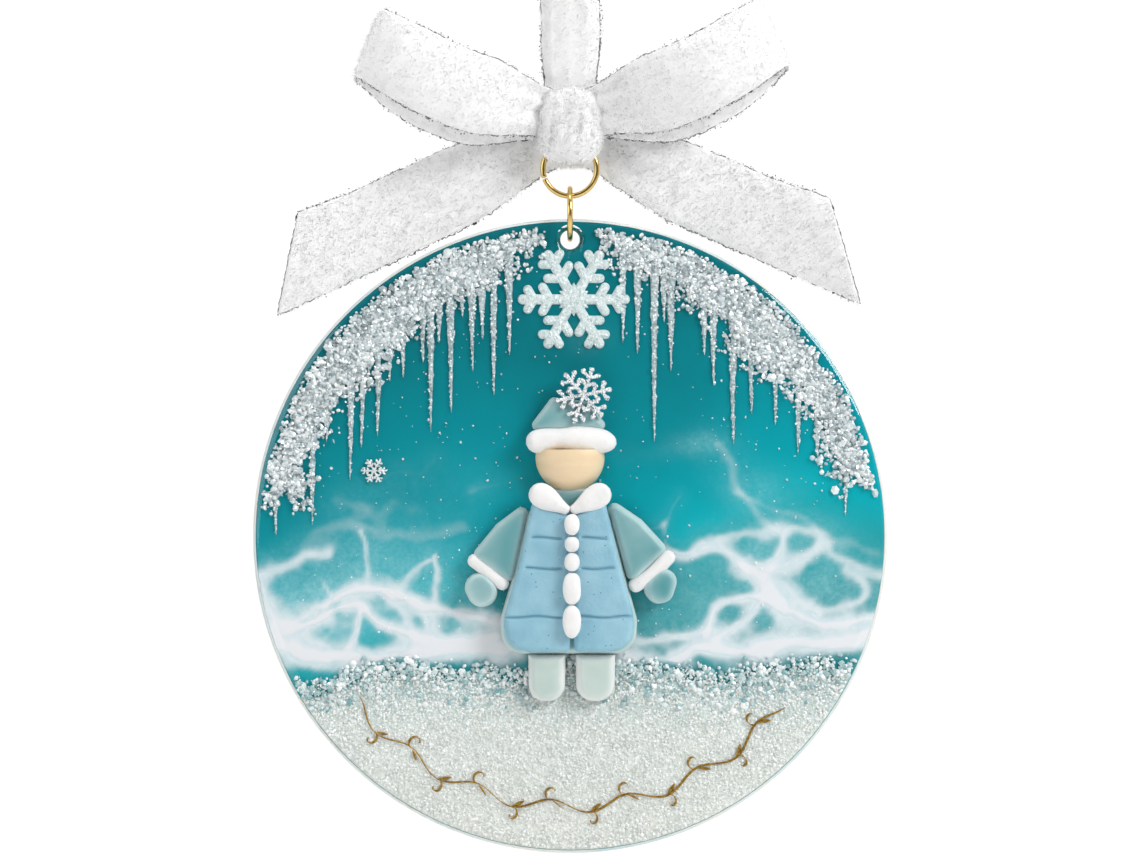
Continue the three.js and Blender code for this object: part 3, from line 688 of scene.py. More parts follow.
def paintedMarks(x, z):
    # a stroke covers strength * (0.6 exp(-(d / width)^2) + 0.4 exp(-(d / 2.3 widths)^2)) of what is under it, at
    # places shifted by noise; the haze is the same, wider, and adds up
    warpX = x + 0.9 * manyNoise(x, 0, z, 6, 3) + 0.12 * softNoise(x, 0, z, 0.8, 5)
    warpZ = z + 0.7 * manyNoise(x, 0, z, 6, 9)
    lace, haze = np.zeros(np.shape(x)), np.zeros(np.shape(x))
    uneven = 1.15 + 0.5 * softNoise(x, 0, z, 2.6, 21) + 0.2 * softNoise(x, 0, z, 0.9, 22)
    for strength, width, corners in foamStrokes:
        d = lineDistance(warpX, warpZ, curveThrough(corners, 1.2))
        core = 0.6 * np.exp(-(d / (width * uneven)) ** 2) + 0.4 * np.exp(-(d / (width * uneven * 2.3)) ** 2)
        lace = 1 - (1 - lace) * (1 - np.clip(strength * core, 0, 0.97))
        haze = haze + 0.18 * strength * np.exp(-(d / (width * 4.2)) ** 2)
    for strength, middle, half in cloudBlobs:
        d = np.hypot((warpX - middle[0]) / half[0], (warpZ - middle[1]) / half[1])
        haze = haze + 0.8 * strength * np.exp(-d * d * 1.5)
    return lace, np.clip(haze, 0, 1)


def waterline(x):
    # height of the shore: a level and two sine waves across
    return -19.6 + 0.9 * np.sin(x / 5.2) + 0.5 * np.sin(x / 2.3 + 1)


ocean = {"radius": 49.4, "rings": 126, "around": 560, "back": 0.5}
ringRadius = np.linspace(0.02, ocean["radius"], ocean["rings"])
profile = [(r, paintDepth) for r in ringRadius] + [
    (ocean["radius"], paintDepth + 0.5), (ocean["radius"], ocean["back"]),
    (25.0, ocean["back"]), (0.02, ocean["back"])]
points, faces = lathe(profile, ocean["around"])
lace, haze = paintedMarks(points[:, 0], points[:, 2])
clearWater = 1 - 0.9 * smoothStep(0.3, 1.5, waterline(points[:, 0]) - points[:, 2])
oceanLayer = newPiece("ocean_layer", points, faces, oceanResin, "disc", ["ocean_pour"], "ocean_resin",
                      {"lace": 1.02 * smoothStep(0.2, 0.9, lace) * clearWater, "haze": haze * clearWater})

foam = {"step": 0.28, "cut": 0.86, "rise": 0.05}


def foamEdge(x, z):
    # below 0 where the pigment is thick enough to stand up, inside the casting
    marks = paintedMarks(x, z)[0] * (1 + 0.07 * softNoise(x, 2, z, 0.7, 61) + 0.06 * softNoise(x, 2, z, 1.7, 62))
    marks = marks * (1 - 0.6 * smoothStep(0.4, 1.4, waterline(x) - z))
    return np.maximum(foam["cut"] - marks, np.hypot(x, z) / 3 - 49.3 / 3)


def foamThick(x, z):
    # how far the cover rises above the cut, 0 at the edge and 1 where it is full
    return np.clip((paintedMarks(x, z)[0] - foam["cut"]) / (1 - foam["cut"]), 0, 1)


points, faces, inside = plate(
    foamEdge, (-49.5, 49.5, -21.5, 1.5), foam["step"],
    lambda x, z, inside: paintDepth - 0.01 - foam["rise"] * foamThick(x, z) ** 0.7, flatAt(paintDepth + 0.1))
newPiece("foam_lacing", points, faces, foamPigment, "disc", ["wave_foam"], "foam_pigment",
         {"thick": foamThick(points[:, 0], points[:, 2])}, smooth=False)
print("foam made", len(points))

casting = {"radius": 50.0, "edge": 1.05, "edgeWidth": 2.5, "backEdge": 0.4, "around": 360, "holeHeight": 46.75,
           "bore": 1.5, "boreAround": 48, "window": 2.25, "windowAround": 64,
           # the mouth of the bore is polished round: how much wider it is at how deep below the face
           "mouth": [(0.85, -0.3), (0.55, 0), (0.25, 0.35), (0.08, 0.8), (0, 1.3)]}


def arcPoints(middle, radius, start, end, count):
    # points of a circle between two angles in degrees
    turn = np.radians(np.linspace(start, end, count))
    return [(middle[0] + radius * math.cos(t), middle[1] + radius * math.sin(t)) for t in turn]


def castingPiece():
    # turned outline with a quarter-ellipse shoulder, as resin domes before its rim, less the round hole
    radius, edge, wide = casting["radius"], casting["edge"], casting["edgeWidth"]
    bore, mouth = casting["bore"], casting["mouth"]
    turn = np.radians(np.linspace(0, 90, 15))
    rounded = [(radius - wide + wide * math.sin(t), faceDepth + edge * (1 - math.cos(t))) for t in turn]
    outer = [(0.02, faceDepth)] + [(r, faceDepth) for r in (15, 30, 42)] + rounded + [(radius, 0.5)] + arcPoints(
        (radius - casting["backEdge"], backDepth - casting["backEdge"]), casting["backEdge"], 0, 90, 5) + [
        (40, backDepth), (0.02, backDepth)]
    shell, faces = lathe(outer, casting["around"])
    piece = newPiece("clear_casting", shell, faces, clearResin, "disc", ["resin_casting"], "clear_resin")
    boreProfile = [(bore + wider, faceDepth + deep) for wider, deep in mouth] + [
        (bore + wider, backDepth - deep) for wider, deep in mouth[::-1]]
    cutter, cutFaces = lathe(boreProfile, casting["boreAround"])
    tool = newPiece("bore_tool", cutter + [0, 0, casting["holeHeight"]], cutFaces, clearResin, None)
    return piece, tool


def subtract(piece, tool):
    # takes the tool's solid away from the piece and keeps the result as the piece's own mesh
    cut = piece.modifiers.new("cut", "BOOLEAN")
    cut.operation, cut.solver, cut.object = "DIFFERENCE", "EXACT", tool
    graph = bpy.context.evaluated_depsgraph_get()
    made = bpy.data.meshes.new_from_object(piece.evaluated_get(graph))
    piece.modifiers.clear()
    piece.data = made
    bpy.data.objects.remove(tool)


castingObject, boreTool = castingPiece()
subtract(castingObject, boreTool)


def clearRound(piece):
    # a round window of the boss's radius, so that the bore has clear resin about it
    tube, tubeFaces = lathe([(casting["window"], -5), (casting["window"], 5)], casting["windowAround"])
    subtract(piece, newPiece("window_tool", tube + [0, 0, casting["holeHeight"]], tubeFaces, clearResin, None))


clearRound(oceanLayer)
print("ocean layer and casting made")


def stageLights():
    scene = bpy.context.scene
    camera = bpy.data.cameras.new("camera")
    camera.lens, camera.sensor_width, camera.clip_start, camera.clip_end = 140, 36, 0.01, 50
    eye = bpy.data.objects.new("camera", camera)
    eye.location = (0, -0.7, -0.1229)
    eye.rotation_euler = (math.radians(90), 0, 0)
    scene.collection.objects.link(eye)
    scene.camera = eye
    scene.view_settings.view_transform = "Standard"
    world = bpy.data.worlds.new("studio")
    scene.world = world
    world.use_nodes = True
    tree = world.node_tree
    way = addNode(tree, "ShaderNodeTexCoord").outputs["Generated"]
    parts = addNode(tree, "ShaderNodeSeparateXYZ", None, {"Vector": way})
    # the room is white behind, and dim around the camera, so that the flat face stays clear
    strength = spread(tree, parts.outputs["Y"], -0.96, 0.25, 0.12, 1.05)
    strength.node.interpolation_type = "SMOOTHSTEP"
    tree.links.new(strength, tree.nodes["Background"].inputs["Strength"])
    tree.nodes["Background"].inputs["Color"].default_value = (1, 1, 1, 1)
    for name, place, aim, size, power in (
            ("keyRight", (0.6, -0.5, 0.3), (0, 0, -0.12), 0.4, 4.6),
            ("fillLeft", (-0.7, -0.6, 0.1), (0, 0, -0.12), 0.6, 1.6),
            ("topSoft", (0.0, -0.15, 0.8), (0, 0, -0.1), 0.6, 2.4)):
        lamp = bpy.data.lights.new(name, "AREA")
        lamp.shape, lamp.size, lamp.energy = "DISK", size, power
        holder = bpy.data.objects.new(name, lamp)
        holder.location = place
        holder.rotation_euler = (Vector(aim) - Vector(place)).to_track_quat("-Z", "Y").to_euler()
        scene.collection.objects.link(holder)
    floorMaterial, tree, shader, place = newMaterial("paintedFloorMatt", {"Roughness": 0.8})
    mottle = addNode(tree, "ShaderNodeTexNoise", {"Scale": 3.0}, {"Vector": place})
    addColour(tree, shader, ramp(tree, mottle.outputs["Fac"], [(0.3, "#f1f1f0"), (0.7, "#f6f6f5")]))
    turn = np.linspace(0, 2 * np.pi, 96, endpoint=False)
    ring = np.stack([np.cos(turn) * 3000, np.sin(turn) * 3000, np.full(96, -360.0)], -1)
    floor = newPiece("floor", ring, np.arange(96)[None], floorMaterial, None, outward=False)


frost = {"outer": 48.7, "chips": 9000, "seed": 11, "shape": (6, 0.4, 1.3)}
leftIcicles = [
    [46.4, 0.2], [44.3, 6.5], [40.6, 1.7], [38.3, 14.8], [34.6, 8.8], [32.8, 13.9], [30.3, 15.8], [28.4, 24.4],
    [26.3, 24.9], [23.2, 27.3], [22, 16.4], [20.7, 30.4], [18.8, 19.4], [17, 34.5], [15.4, 25.9], [13.8, 31],
    [12, 22.2], [9.6, 28.5]]
rightIcicles = [
    [46.4, 7.3], [44.8, 10.3], [43.4, 3.2], [41.2, 14], [39, 11], [37.3, 18.9], [36, 12.8], [32.4, 17.5],
    [30.3, 25.7], [28.6, 19.2], [25.7, 14.3], [22.6, 23.7], [21.1, 28.5], [15.9, 26], [14.8, 33.7], [13.3, 14.8],
    [10.7, 28.7], [8.4, 30.4]]


def frostInner(x):
    # how far down from the rim the frost reaches: a slow swell over the distance from the middle
    a = np.clip((np.abs(x) - 2) / 50, 0, 1)
    return 2.6 + 5.6 * np.sin(np.pi * a) ** 0.9


def frostDistance(x, z):
    # below 0 inside the band: under the rim, above its ragged lower edge, and clear of the hole
    r = np.hypot(x, z)
    low = frost["outer"] - frostInner(x) + (
        1.5 * softNoise(x, 3, z, 4.2, 31) + 1.0 * softNoise(x, 3, z, 1.5, 32))
    foot = np.where(x < 0, 5.0, 8.4) + 1.6 * softNoise(x, 6, z, 2.2, 35) - z
    gap = 4.2 + 0.6 * softNoise(x, 5, z, 1.2, 4) - np.abs(x)
    return np.maximum.reduce([r - frost["outer"], low - r, gap, foot])


def icicleParts(side, icicles):
    # a tapering drop from inside the frost to each tip, with chips stuck down its length
    shapes, spots, sizes = [], [], []
    rng = np.random.default_rng(5 if side < 0 else 6)
    for across, tip in icicles:
        x = side * across
        top = math.sqrt(frost["outer"] ** 2 - across**2) - frostInner(x) * 0.62
        top = max(top, tip + 3)
        down = np.linspace(0, 1, 26)
        path = np.stack([x + 0.12 * softNoise(down * 9, x, 0, 3, 7), np.full(26, paintDepth - 0.16),
                         top + (tip - top) * down], -1)
        width = (0.62 if top - tip > 8 else 0.45) * (1 - down) ** 0.8 + 0.05
        width = width * (1 + 0.35 * softNoise(down * (top - tip), x, 3, 0.9, 8))
        width[-1] = 0.02
        shapes.append(sweep(path, [1.0, 0, 0], [0, 1.0, 0], width, np.minimum(width * 0.6, 0.28), 8))
        count = int(10 + (top - tip) * 5.2)
        share = rng.uniform(0, 0.97, count) ** 1.15
        place = top + (tip - top) * share
        reach = np.interp(share, down, width)
        spots.append(np.stack([x + rng.uniform(-1.1, 1.1, count) * reach,
                               paintDepth - 0.3 - rng.uniform(0, 0.2, count), place], -1))
        sizes.append(rng.uniform(0.12, 0.3, count) * np.interp(share, [0, 1], [1.15, 0.5]))
    return joined(shapes), np.vstack(spots), np.concatenate(sizes)


def scattered(test, box, count, seed):
    # random spots in the box that pass the test, count of them
    rng = np.random.default_rng(seed)
    kept = np.zeros((0, 2))
    while len(kept) < count:
        spots = rng.uniform((box[0], box[2]), (box[1], box[3]), (count * 3, 2))
        kept = np.vstack([kept, spots[test(spots[:, 0], spots[:, 1], rng.uniform(0, 1, len(spots)))]])
    return kept[:count], rng


def frostTest(x, z, chance):
    # kept where the chance is under a smooth step of how deep inside the band the spot lies, plus clumping noise
    d = frostDistance(x, z)
    clump = 0.3 * softNoise(x, 8, z, 1.1, 33)
    wanted = chance < 0.05 + clump + 0.95 * smoothStep(1.2, -2.6, d)
    return (np.hypot(x, z) < frost["outer"]) & (d < 1.7) & wanted


for side, word, icicles in ((-1, "left", leftIcicles), (1, "right", rightIcicles)):
    box = (-49, -4, -3, 49) if side < 0 else (4, 49, 3, 49)
    points, faces, inside = plate(
        lambda x, z: frostDistance(x, z) + 1.1, box, 0.45,
        lambda x, z, inside: paintDepth - 0.12 - 0.12 * np.clip(inside, 0, 1) * (1 + softNoise(x, 0, z, 0.9, 2)),
        flatAt(paintDepth + 0.1))
    newPiece("frost_bed_" + word, points, faces, frostBed, "disc", slot="frost_glitter")
    drops, stuck, stuckSizes = icicleParts(side, icicles)
    newPiece("icicles_" + word, *drops, frostBed, "disc", slot="frost_glitter")
    spots, rng = scattered(frostTest, box, frost["chips"] // 2, frost["seed"] + side)
    sizes = rng.uniform(0.16, 0.44, len(spots))
    big = rng.uniform(0, 1, len(spots)) < 0.05
    sizes[big] = rng.uniform(0.45, 0.7, big.sum())
    centres = np.stack([spots[:, 0], paintDepth - rng.uniform(0.1, 0.62, len(spots)), spots[:, 1]], -1)
    centres, sizes = np.vstack([centres, stuck]), np.concatenate([sizes, stuckSizes])
    crystals("frost_chips_" + word, centres, sizes, 40 + side, frost["shape"], frostFlake, "frost_glitter",
             ["frost_" + word])
print("frost made")

sand = {"outer": 49.35, "chips": 15500, "shoreChips": 2000}


def sandTop(x):
    # the waterline, lower by a wandering wave and by one deep cove near the left rim
    wander = waterline(x) - 2.1 + 1.2 * softNoise(x, 0, 0, 5.5, 14) + 0.6 * softNoise(x, 0, 0, 2.1, 15)
    return wander - 2.6 * np.exp(-(((x + 40.5) / 4.0) ** 2)) + 1.2 * np.exp(-((x / 9) ** 2))


def sandDistance(x, z):
    # below 0 inside the disc and under the sand's top, lowered by noise
    return np.maximum(np.hypot(x, z) - sand["outer"], z - sandTop(x) + 0.9 + 0.6 * softNoise(x, 1, z, 1.4, 12))


def sandTest(x, z, chance):
    # inside the disc and under the sand's top, moved by the chance
    return (np.hypot(x, z) < sand["outer"] - 0.2) & (z < sandTop(x) - 0.8 + 1.6 * chance)


def shoreTest(x, z, chance):
    # thickest just under the shore: a smooth step above it and a falling exponential below
    below = sandTop(x) + 2.6 - z
    wanted = chance < smoothStep(0, 2.6, below) * np.exp(-np.maximum(below - 3, 0) / 2.4)
    return (np.hypot(x, z) < sand["outer"] - 0.4) & (below > 0) & (below < 8.5) & wanted


points, faces, inside = plate(
    sandDistance, (-49, 49, -49, -15), 0.45,
    lambda x, z, inside: paintDepth - 0.05 - 0.1 * np.clip(inside / 2, 0, 1) - 0.06 * softNoise(x, 0, z, 1.2, 5),
    flatAt(paintDepth + 0.1))
newPiece("sand_bed", points, faces, sandBed, "disc", slot="sand_glitter")
spots, rng = scattered(sandTest, (-49, 49, -49, -17), sand["chips"], 77)
sizes = rng.uniform(0.12, 0.3, len(spots))
centres = np.stack([spots[:, 0], paintDepth - rng.uniform(0.08, 0.3, len(spots)), spots[:, 1]], -1)
crystals("sand_grains", centres, sizes, 78, (4, 0.5, 0.9), sandFlake, "sand_glitter", ["sand_bank"])
spots, rng = scattered(shoreTest, (-49, 49, -28, -16), sand["shoreChips"], 79)
sizes = 0.15 + 0.42 * rng.uniform(0, 1, len(spots)) ** 1.7
centres = np.stack([spots[:, 0], paintDepth - rng.uniform(0.15, 0.4, len(spots)), spots[:, 1]], -1)
crystals("shore_grains", centres, sizes, 80, (6, 0.6, 1.3), shoreFlake, "sand_glitter")


def speckTest(x, z, chance):
    # clear of frost, sand and rim, and closer together where slow noise is high
    clear = (np.hypot(x, z) < 45) & (z > -16) & (frostDistance(x, z) > 0)
    return clear & (chance < 0.35 + 0.65 * smoothStep(0.45, 0.6, 0.5 + 0.5 * softNoise(x, 0, z, 11, 55)))


specks = {"count": 430, "big": 34}
spots, rng = scattered(speckTest, (-46, 46, -16, 44), specks["count"], 91)
sizes = 0.07 + 0.15 * rng.uniform(0, 1, len(spots)) ** 3
sizes[:specks["big"]] = rng.uniform(0.2, 0.3, specks["big"])
centres = np.stack([spots[:, 0], paintDepth - 0.08 - rng.uniform(0, 0.1, len(spots)), spots[:, 1]], -1)
crystals("snow_specks", centres, sizes, 92, (6, 0.7, 1.5), frostFlake, "frost_glitter", tones=(0.5, 0.5))
print("sand and specks made")


def flakeDistance(x, z, middle, reach, bar, branches, tilt, knob):
    # six arms folded into one by angle; each a bar with side branches, and round knobs at the tips
    u, v = x - middle[0], z - middle[1]
    r, turn = np.hypot(u, v), np.arctan2(v, u) - tilt
    fold = np.abs((turn + np.pi / 6) % (np.pi / 3) - np.pi / 6)
    a, b = r * np.cos(fold), r * np.sin(fold)
    d = segmentDistance(a, b, (0, 0), (reach - bar / 2, 0)) - bar / 2
    for start, length in branches:
        tip = (start * reach + length * reach * 0.5, length * reach * 0.866)
        d = np.minimum(d, segmentDistance(a, b, (start * reach, 0), tip) - bar * 0.46)
        if knob:
            d = np.minimum(d, np.hypot(a - tip[0], b - tip[1]) - knob)
    if knob:
        d = np.minimum(d, np.hypot(a - reach + knob, b) - knob)
    return d


# name, middle, reach, bar width, branches as start and length in parts of the reach, tilt, knob, step
flakes = (
    ("snowflake_large", (0.6, 37.3), 8.85, 1.6, [(0.08, 0.2), (0.43, 0.25), (0.72, 0.2)], 0.0, 0.0, 0.1),
    ("snowflake_small", (-30.9, 10.3), 2.05, 0.26, [(0.4, 0.24), (0.66, 0.26)], 0.0, 0.0, 0.05),
    ("hat_snowflake", (2.1, 22.2), 4.6, 0.62, [(0.34, 0.24), (0.62, 0.3)], 0.2, 0.42, 0.05),
)
for name, middle, reach, bar, branches, tilt, knob, step in flakes:
    if name == "hat_snowflake":
        frontDepth, rearDepth = nodeDepths(name)
        material, slotName = silverGlitter, "silver_glitter"
    else:
        frontDepth, rearDepth = paintDepth - 0.5, paintDepth + 0.05
        material, slotName = whiteGlitter, "white_glitter"
    height = pillow(rearDepth - frontDepth, 0.12, bar * 0.45)
    room = reach + 0.3
    box = (middle[0] - room, middle[0] + room, middle[1] - room, middle[1] + room)
    points, faces, inside = plate(
        lambda x, z: flakeDistance(x, z, middle, reach, bar, branches, tilt, knob), box, max(step, reach / 90),
        lambda x, z, inside: rearDepth - height(inside) + 0.05 * softNoise(x, 0, z, 0.4, 13) * (inside > 0),
        flatAt(rearDepth))
    newPiece(name + "_cast", points, faces, material, "disc", [name], slotName)
    rng = np.random.default_rng(int(reach * 10))
    front = len(points) // 2
    field = points[:front][inside[:front] > bar * 0.12]
    picked = field[rng.integers(0, len(field), int(26 * len(field) ** 0.5 * 0.6))]
    picked = picked + rng.normal(0, 0.04, picked.shape) * [1, 0, 1] - [0, 0.02, 0]
    crystals(name + "_sparkle", picked, rng.uniform(0.06, 0.15, len(picked)), 3, (6, 0.35, 1.2), frostFlake,
             slotName, tones=(0.45, 0.55))
print("snowflakes made")


def outlinePlate(name, node, corners, roundness, rise, material, slotName, step, rim=0.3, groove=None,
                 bulge=0.1, top=None):
    # a sheet with a rounded outline and a rounded edge, its face a little crowned, grooves pressed in
    frontDepth, rearDepth = nodeDepths(node)
    height = pillow(rearDepth - frontDepth, rim, rise)
    corners = np.asarray(corners, float)
    low, high = corners.min(0), corners.max(0)

    def distance(x, z):
        d = outlineDistance(x, z, corners, roundness)
        return d if top is None else np.maximum(d, z - top)

    def front(x, z, inside):
        deep = height(inside) - bulge * (1 - smoothStep(0, 3.5, inside))
        if groove is not None:
            deep = deep - groove(x, z, inside)
        return rearDepth - np.maximum(deep, rim)

    points, faces, inside = plate(
        distance, (low[0] - 0.8, high[0] + 0.8, low[1] - 0.8, high[1] + 0.8), step, front, flatAt(rearDepth))
    # edge: 1 at the outline, falling off inwards; the sea glass reads it as worn frosting and a painted rim
    # highlight
    marks = {"edge": np.exp(-inside / 0.5)}
    if groove is not None:
        # the seam mark is the groove depth; it paints shade into the grooves
        marks["seam"] = np.clip(groove(points[:, 0], points[:, 2], inside) / coat["seamDepth"], 0, 1) * 0.85
    return newPiece(name, points, faces, material, "disc", [node], slotName, marks)


coat = {"seams": [-0.2, -5.0, -12.6], "seamHalf": 0.22, "seamDepth": 0.5}


def seamGroove(x, z, inside):
    # depth * exp(-(height above the seam / half width)^2) at each seam, fading towards the coat's sides
    reach = smoothStep(0.7, 1.5, inside + (np.abs(z + 12.6) < 1) * 1.0)
    total = 0
    for seam in coat["seams"]:
        line = seam + 0.12 * np.sin(x * 0.9 + seam)
        total = total + np.exp(-((z - line) / coat["seamHalf"]) ** 2) * reach
    return coat["seamDepth"] * total - 0.05 * softNoise(x, 0, z, 2.6, 5)


# piece, node, outline, rounding of its corners, width of its rounded edge
glassPieces = (
    ("coat_base", "coat_base_glass", [[-6.4, 5.2], [5.8, 5.2], [8.4, -5.0], [10.6, -13.2],
                                   [10.3, -18.5], [-10.6, -18.5], [-11.0, -13.2], [-8.8, -5.0]], 3.4, 1.1),
    ("sleeve_shard_left", "sleeve_left", [[-6.0, 6.1], [-8.9, -7.9], [-15.6, -3.0], [-11.6, 1.9]], 1.1, 1.0),
    ("sleeve_shard_right", "sleeve_right", [[5.2, 6.7], [11.3, 2.6], [15.5, -2.0], [9.3, -7.9]], 1.1, 1.0),
    ("mitten_shard_left", "mitten_left", [[-15.0, -3.8], [-10.8, -8.4], [-12.4, -11], [-15.2, -11.3],
                                          [-16.8, -8.2]], 2.3, 0.9),
    ("mitten_shard_right", "mitten_right", [[15.8, -3.4], [16.9, -7.2], [15.9, -10.3], [13.2, -10.8],
                                            [10.8, -8.2]], 2.0, 0.9),
    ("hat_shard", "hat_crown", [[-6.9, 16.6], [-2.9, 21.9], [2.6, 21.2], [6.6, 16.6]], 0.9, 0.9),
    ("neck_shard", "neck_glass", [[-3, 7.6], [3, 7.6], [2.4, 4.2], [-2.6, 4.2]], 0.2, 0.4),
)
for name, node, corners, roundness, rise in glassPieces:
    outlinePlate(name, node, corners, roundness, rise, seaGlass, "sea_glass", 0.16, bulge=0.12)
for name, node, corners in (
        ("leg_shard_left", "leg_left", [[-6.6, -14], [-0.6, -14], [-0.8, -25.9], [-6.5, -26.1]]),
        ("leg_shard_right", "leg_right", [[0.8, -14], [7.2, -14], [7.0, -26.1], [1.0, -25.8]])):
    outlinePlate(name, node, corners, 2.75, 1.2, paleSeaGlass, "pale_sea_glass", 0.16, bulge=0.15, top=-18.6)
for word, corners in (
        ("left", [[-5.9, 5.6], [0, 3.4], [0, -18.1], [-6.4, -18.2], [-8.4, -17.6], [-9.8, -16.2],
                  [-10.4, -14.2], [-10.2, -12.0], [-8.2, -5.0]]),
        ("right", [[5.5, 5.6], [8.0, -5.0], [9.9, -12.0], [10.1, -14.2], [9.5, -16.2], [8.1, -17.6],
                   [6.1, -18.2], [0.6, -18.1], [0.6, 3.4]])):
    outlinePlate("quilt_" + word, "coat_panel_" + word, corners, 0.8, 0.9, blueClay, "blue_clay", 0.14, 0.35,
                 seamGroove)
print("coat and glass made")


buttons = {"lumps": 0.05, "power": 0.9, "taller": 0.16, "rows": 40, "around": 56}


def button(number, lift, taller):
    # an ellipsoid in the node's box, its sections slightly squared by a power, its surface lumpy
    low, high = nodeBox("button_%d" % number)
    rows, around, power, lumps = (buttons[key] for key in ("rows", "around", "power", "lumps"))
    middle, half = (low + high) / 2 + [0, 0, lift], (high - low) / 2 + [0, 0, taller]
    tilt = np.linspace(-np.pi / 2, np.pi / 2, rows)
    turn = np.linspace(0, 2 * np.pi, around, endpoint=False)
    ring = bent(np.cos(tilt), power)[:, None]
    rise = np.broadcast_to(bent(np.sin(tilt), power)[:, None], (rows, around))
    unit = np.stack([ring * bent(np.cos(turn), power), ring * bent(np.sin(turn), power), rise], -1).reshape(-1, 3)
    size = 1 + lumps * softNoise(unit[:, 0] * 2, unit[:, 1] * 2, unit[:, 2] * 2, 1.3, middle[2]) - lumps
    newPiece("clay_button_%d" % number, middle + unit * half * size[:, None],
             [gridFaces(rows, around, False, True)], whiteClay, "disc", ["button_%d" % number], "white_clay")


button(1, 0.35, buttons["taller"] + 0.2)
for number in range(2, 6):
    button(number, 0.0, buttons["taller"])


def roll(name, node, corners, radius, swell):
    # a clay snake along the corners: round section, rounded ends, thickness swelling and dipping as it was rolled
    frontDepth, rearDepth = nodeDepths(node)
    line = curveThrough(corners, 0.2)
    path, side = flatPath(line, (frontDepth + rearDepth) / 2)
    along = np.linspace(0, 1, len(line))
    length = 0.2 * len(line)
    fromEnd = np.minimum(along, 1 - along) * length
    taper = np.sqrt(np.clip(1 - (1 - np.clip(fromEnd / radius, 0, 1)) ** 2, 0.0004, 1))
    fat = radius * taper * (1 + swell * softNoise(along * length, radius, 0, 3.0, 4) - swell)
    points, faces = sweep(path, side, [0, -1.0, 0], fat, np.minimum(fat, (rearDepth - frontDepth) / 2), 28)
    points[:, 2] = points[:, 2] + 0.042 * softNoise(points[:, 0], points[:, 1], points[:, 2], 1.5, 9)
    newPiece(name, points, faces, whiteClay, "disc", [node], "white_clay")


roll("hat_brim_roll", "hat_brim", [[-6.9, 14.5], [-4.6, 15.0], [-2.2, 15.3], [0.4, 15.35], [3, 15.2],
                                   [5.2, 14.9], [7.3, 14.5]], 2.1, 0.13)
roll("cuff_roll_left", "cuff_left", [[-15.9, -3.2], [-12.8, -5.6], [-9.8, -8.1]], 1.12, 0.04)
roll("cuff_roll_right", "cuff_right", [[16.2, -2.5], [13.1, -5.7], [9.4, -8.3]], 1.18, 0.04)

for side, node in ((-1, "collar_left"), (1, "collar_right")):
    frontDepth, rearDepth = nodeDepths(node)
    along = np.linspace(0, 1, 46)
    start, slope, length = np.array([side * 6.25, 7.5]), 0.53, 7.1
    line = start + np.stack([-side * np.cos(slope) * along, -np.sin(slope) * along], -1) * length
    # a petal: a round outer end, drawn in over its length, and closed round at its tip
    fat = 1.95 * np.sqrt(np.clip(1 - (1 - np.clip(along / 0.3, 0, 1)) ** 2, 0.0003, 1))
    fat = fat * (1 - 0.62 * smoothStep(0.35, 1.0, along))
    fat = fat * np.sqrt(np.clip(1 - np.clip((along - 0.93) / 0.07, 0, 1) ** 2, 0.0004, 1))
    path, sideWay = flatPath(line, (frontDepth + rearDepth) / 2)
    deep = np.minimum(fat * 0.75, (rearDepth - frontDepth) / 2)
    points, faces = sweep(path, sideWay, [0, -1.0, 0], fat, deep, 30)
    newPiece("collar_petal_" + node[7:], points, faces, whiteClay, "disc", [node], "white_clay")

low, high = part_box("head")
head = {"rows": 48, "around": 96, "radius": 5.44, "depth": (high.y - low.y) / mm, "height": 12.4, "top": 13.65}
tilt = np.linspace(0, np.pi / 2, head["rows"])[:, None]
turn = np.linspace(0, 2 * np.pi, head["around"], endpoint=False)
# half a ball, flattened to the face's depth: radius * cos(tilt) out from the middle, depth * sin(tilt) forward
outwards = head["radius"] * np.sin(np.pi / 2 - tilt)
forwards = np.broadcast_to(high.y / mm - head["depth"] * np.sin(tilt) ** 0.9, (head["rows"], head["around"]))
dome = np.stack([outwards * np.cos(turn), forwards, head["height"] + outwards * np.sin(turn)], -1).reshape(-1, 3)
dome[:, 2] = np.minimum(dome[:, 2], head["top"])
newPiece("head_bead", dome, capped([gridFaces(head["rows"], head["around"], False, True)],
                                   head["rows"], head["around"]), wood, "disc", ["head"], "peach_wood")
print("figure made")


def strokePlate(corners, width, depth, taper=0.25):
    # a brushed stroke: its width swells from nothing and fades again, like a pen's
    path, side = flatPath(curveThrough(corners, 0.25), depth)
    along = np.linspace(0, 1, len(path))
    pen = 0.35 + 0.65 * np.abs(np.sin(np.arctan2(side[:, 0], -side[:, 2]) + 0.7))
    wide = width * pen * np.sqrt(np.clip(np.minimum(along, 1 - along) / taper, 0.003, 1))
    return sweep(path, side, [0, 1.0, 0], wide, 0.05, 6)


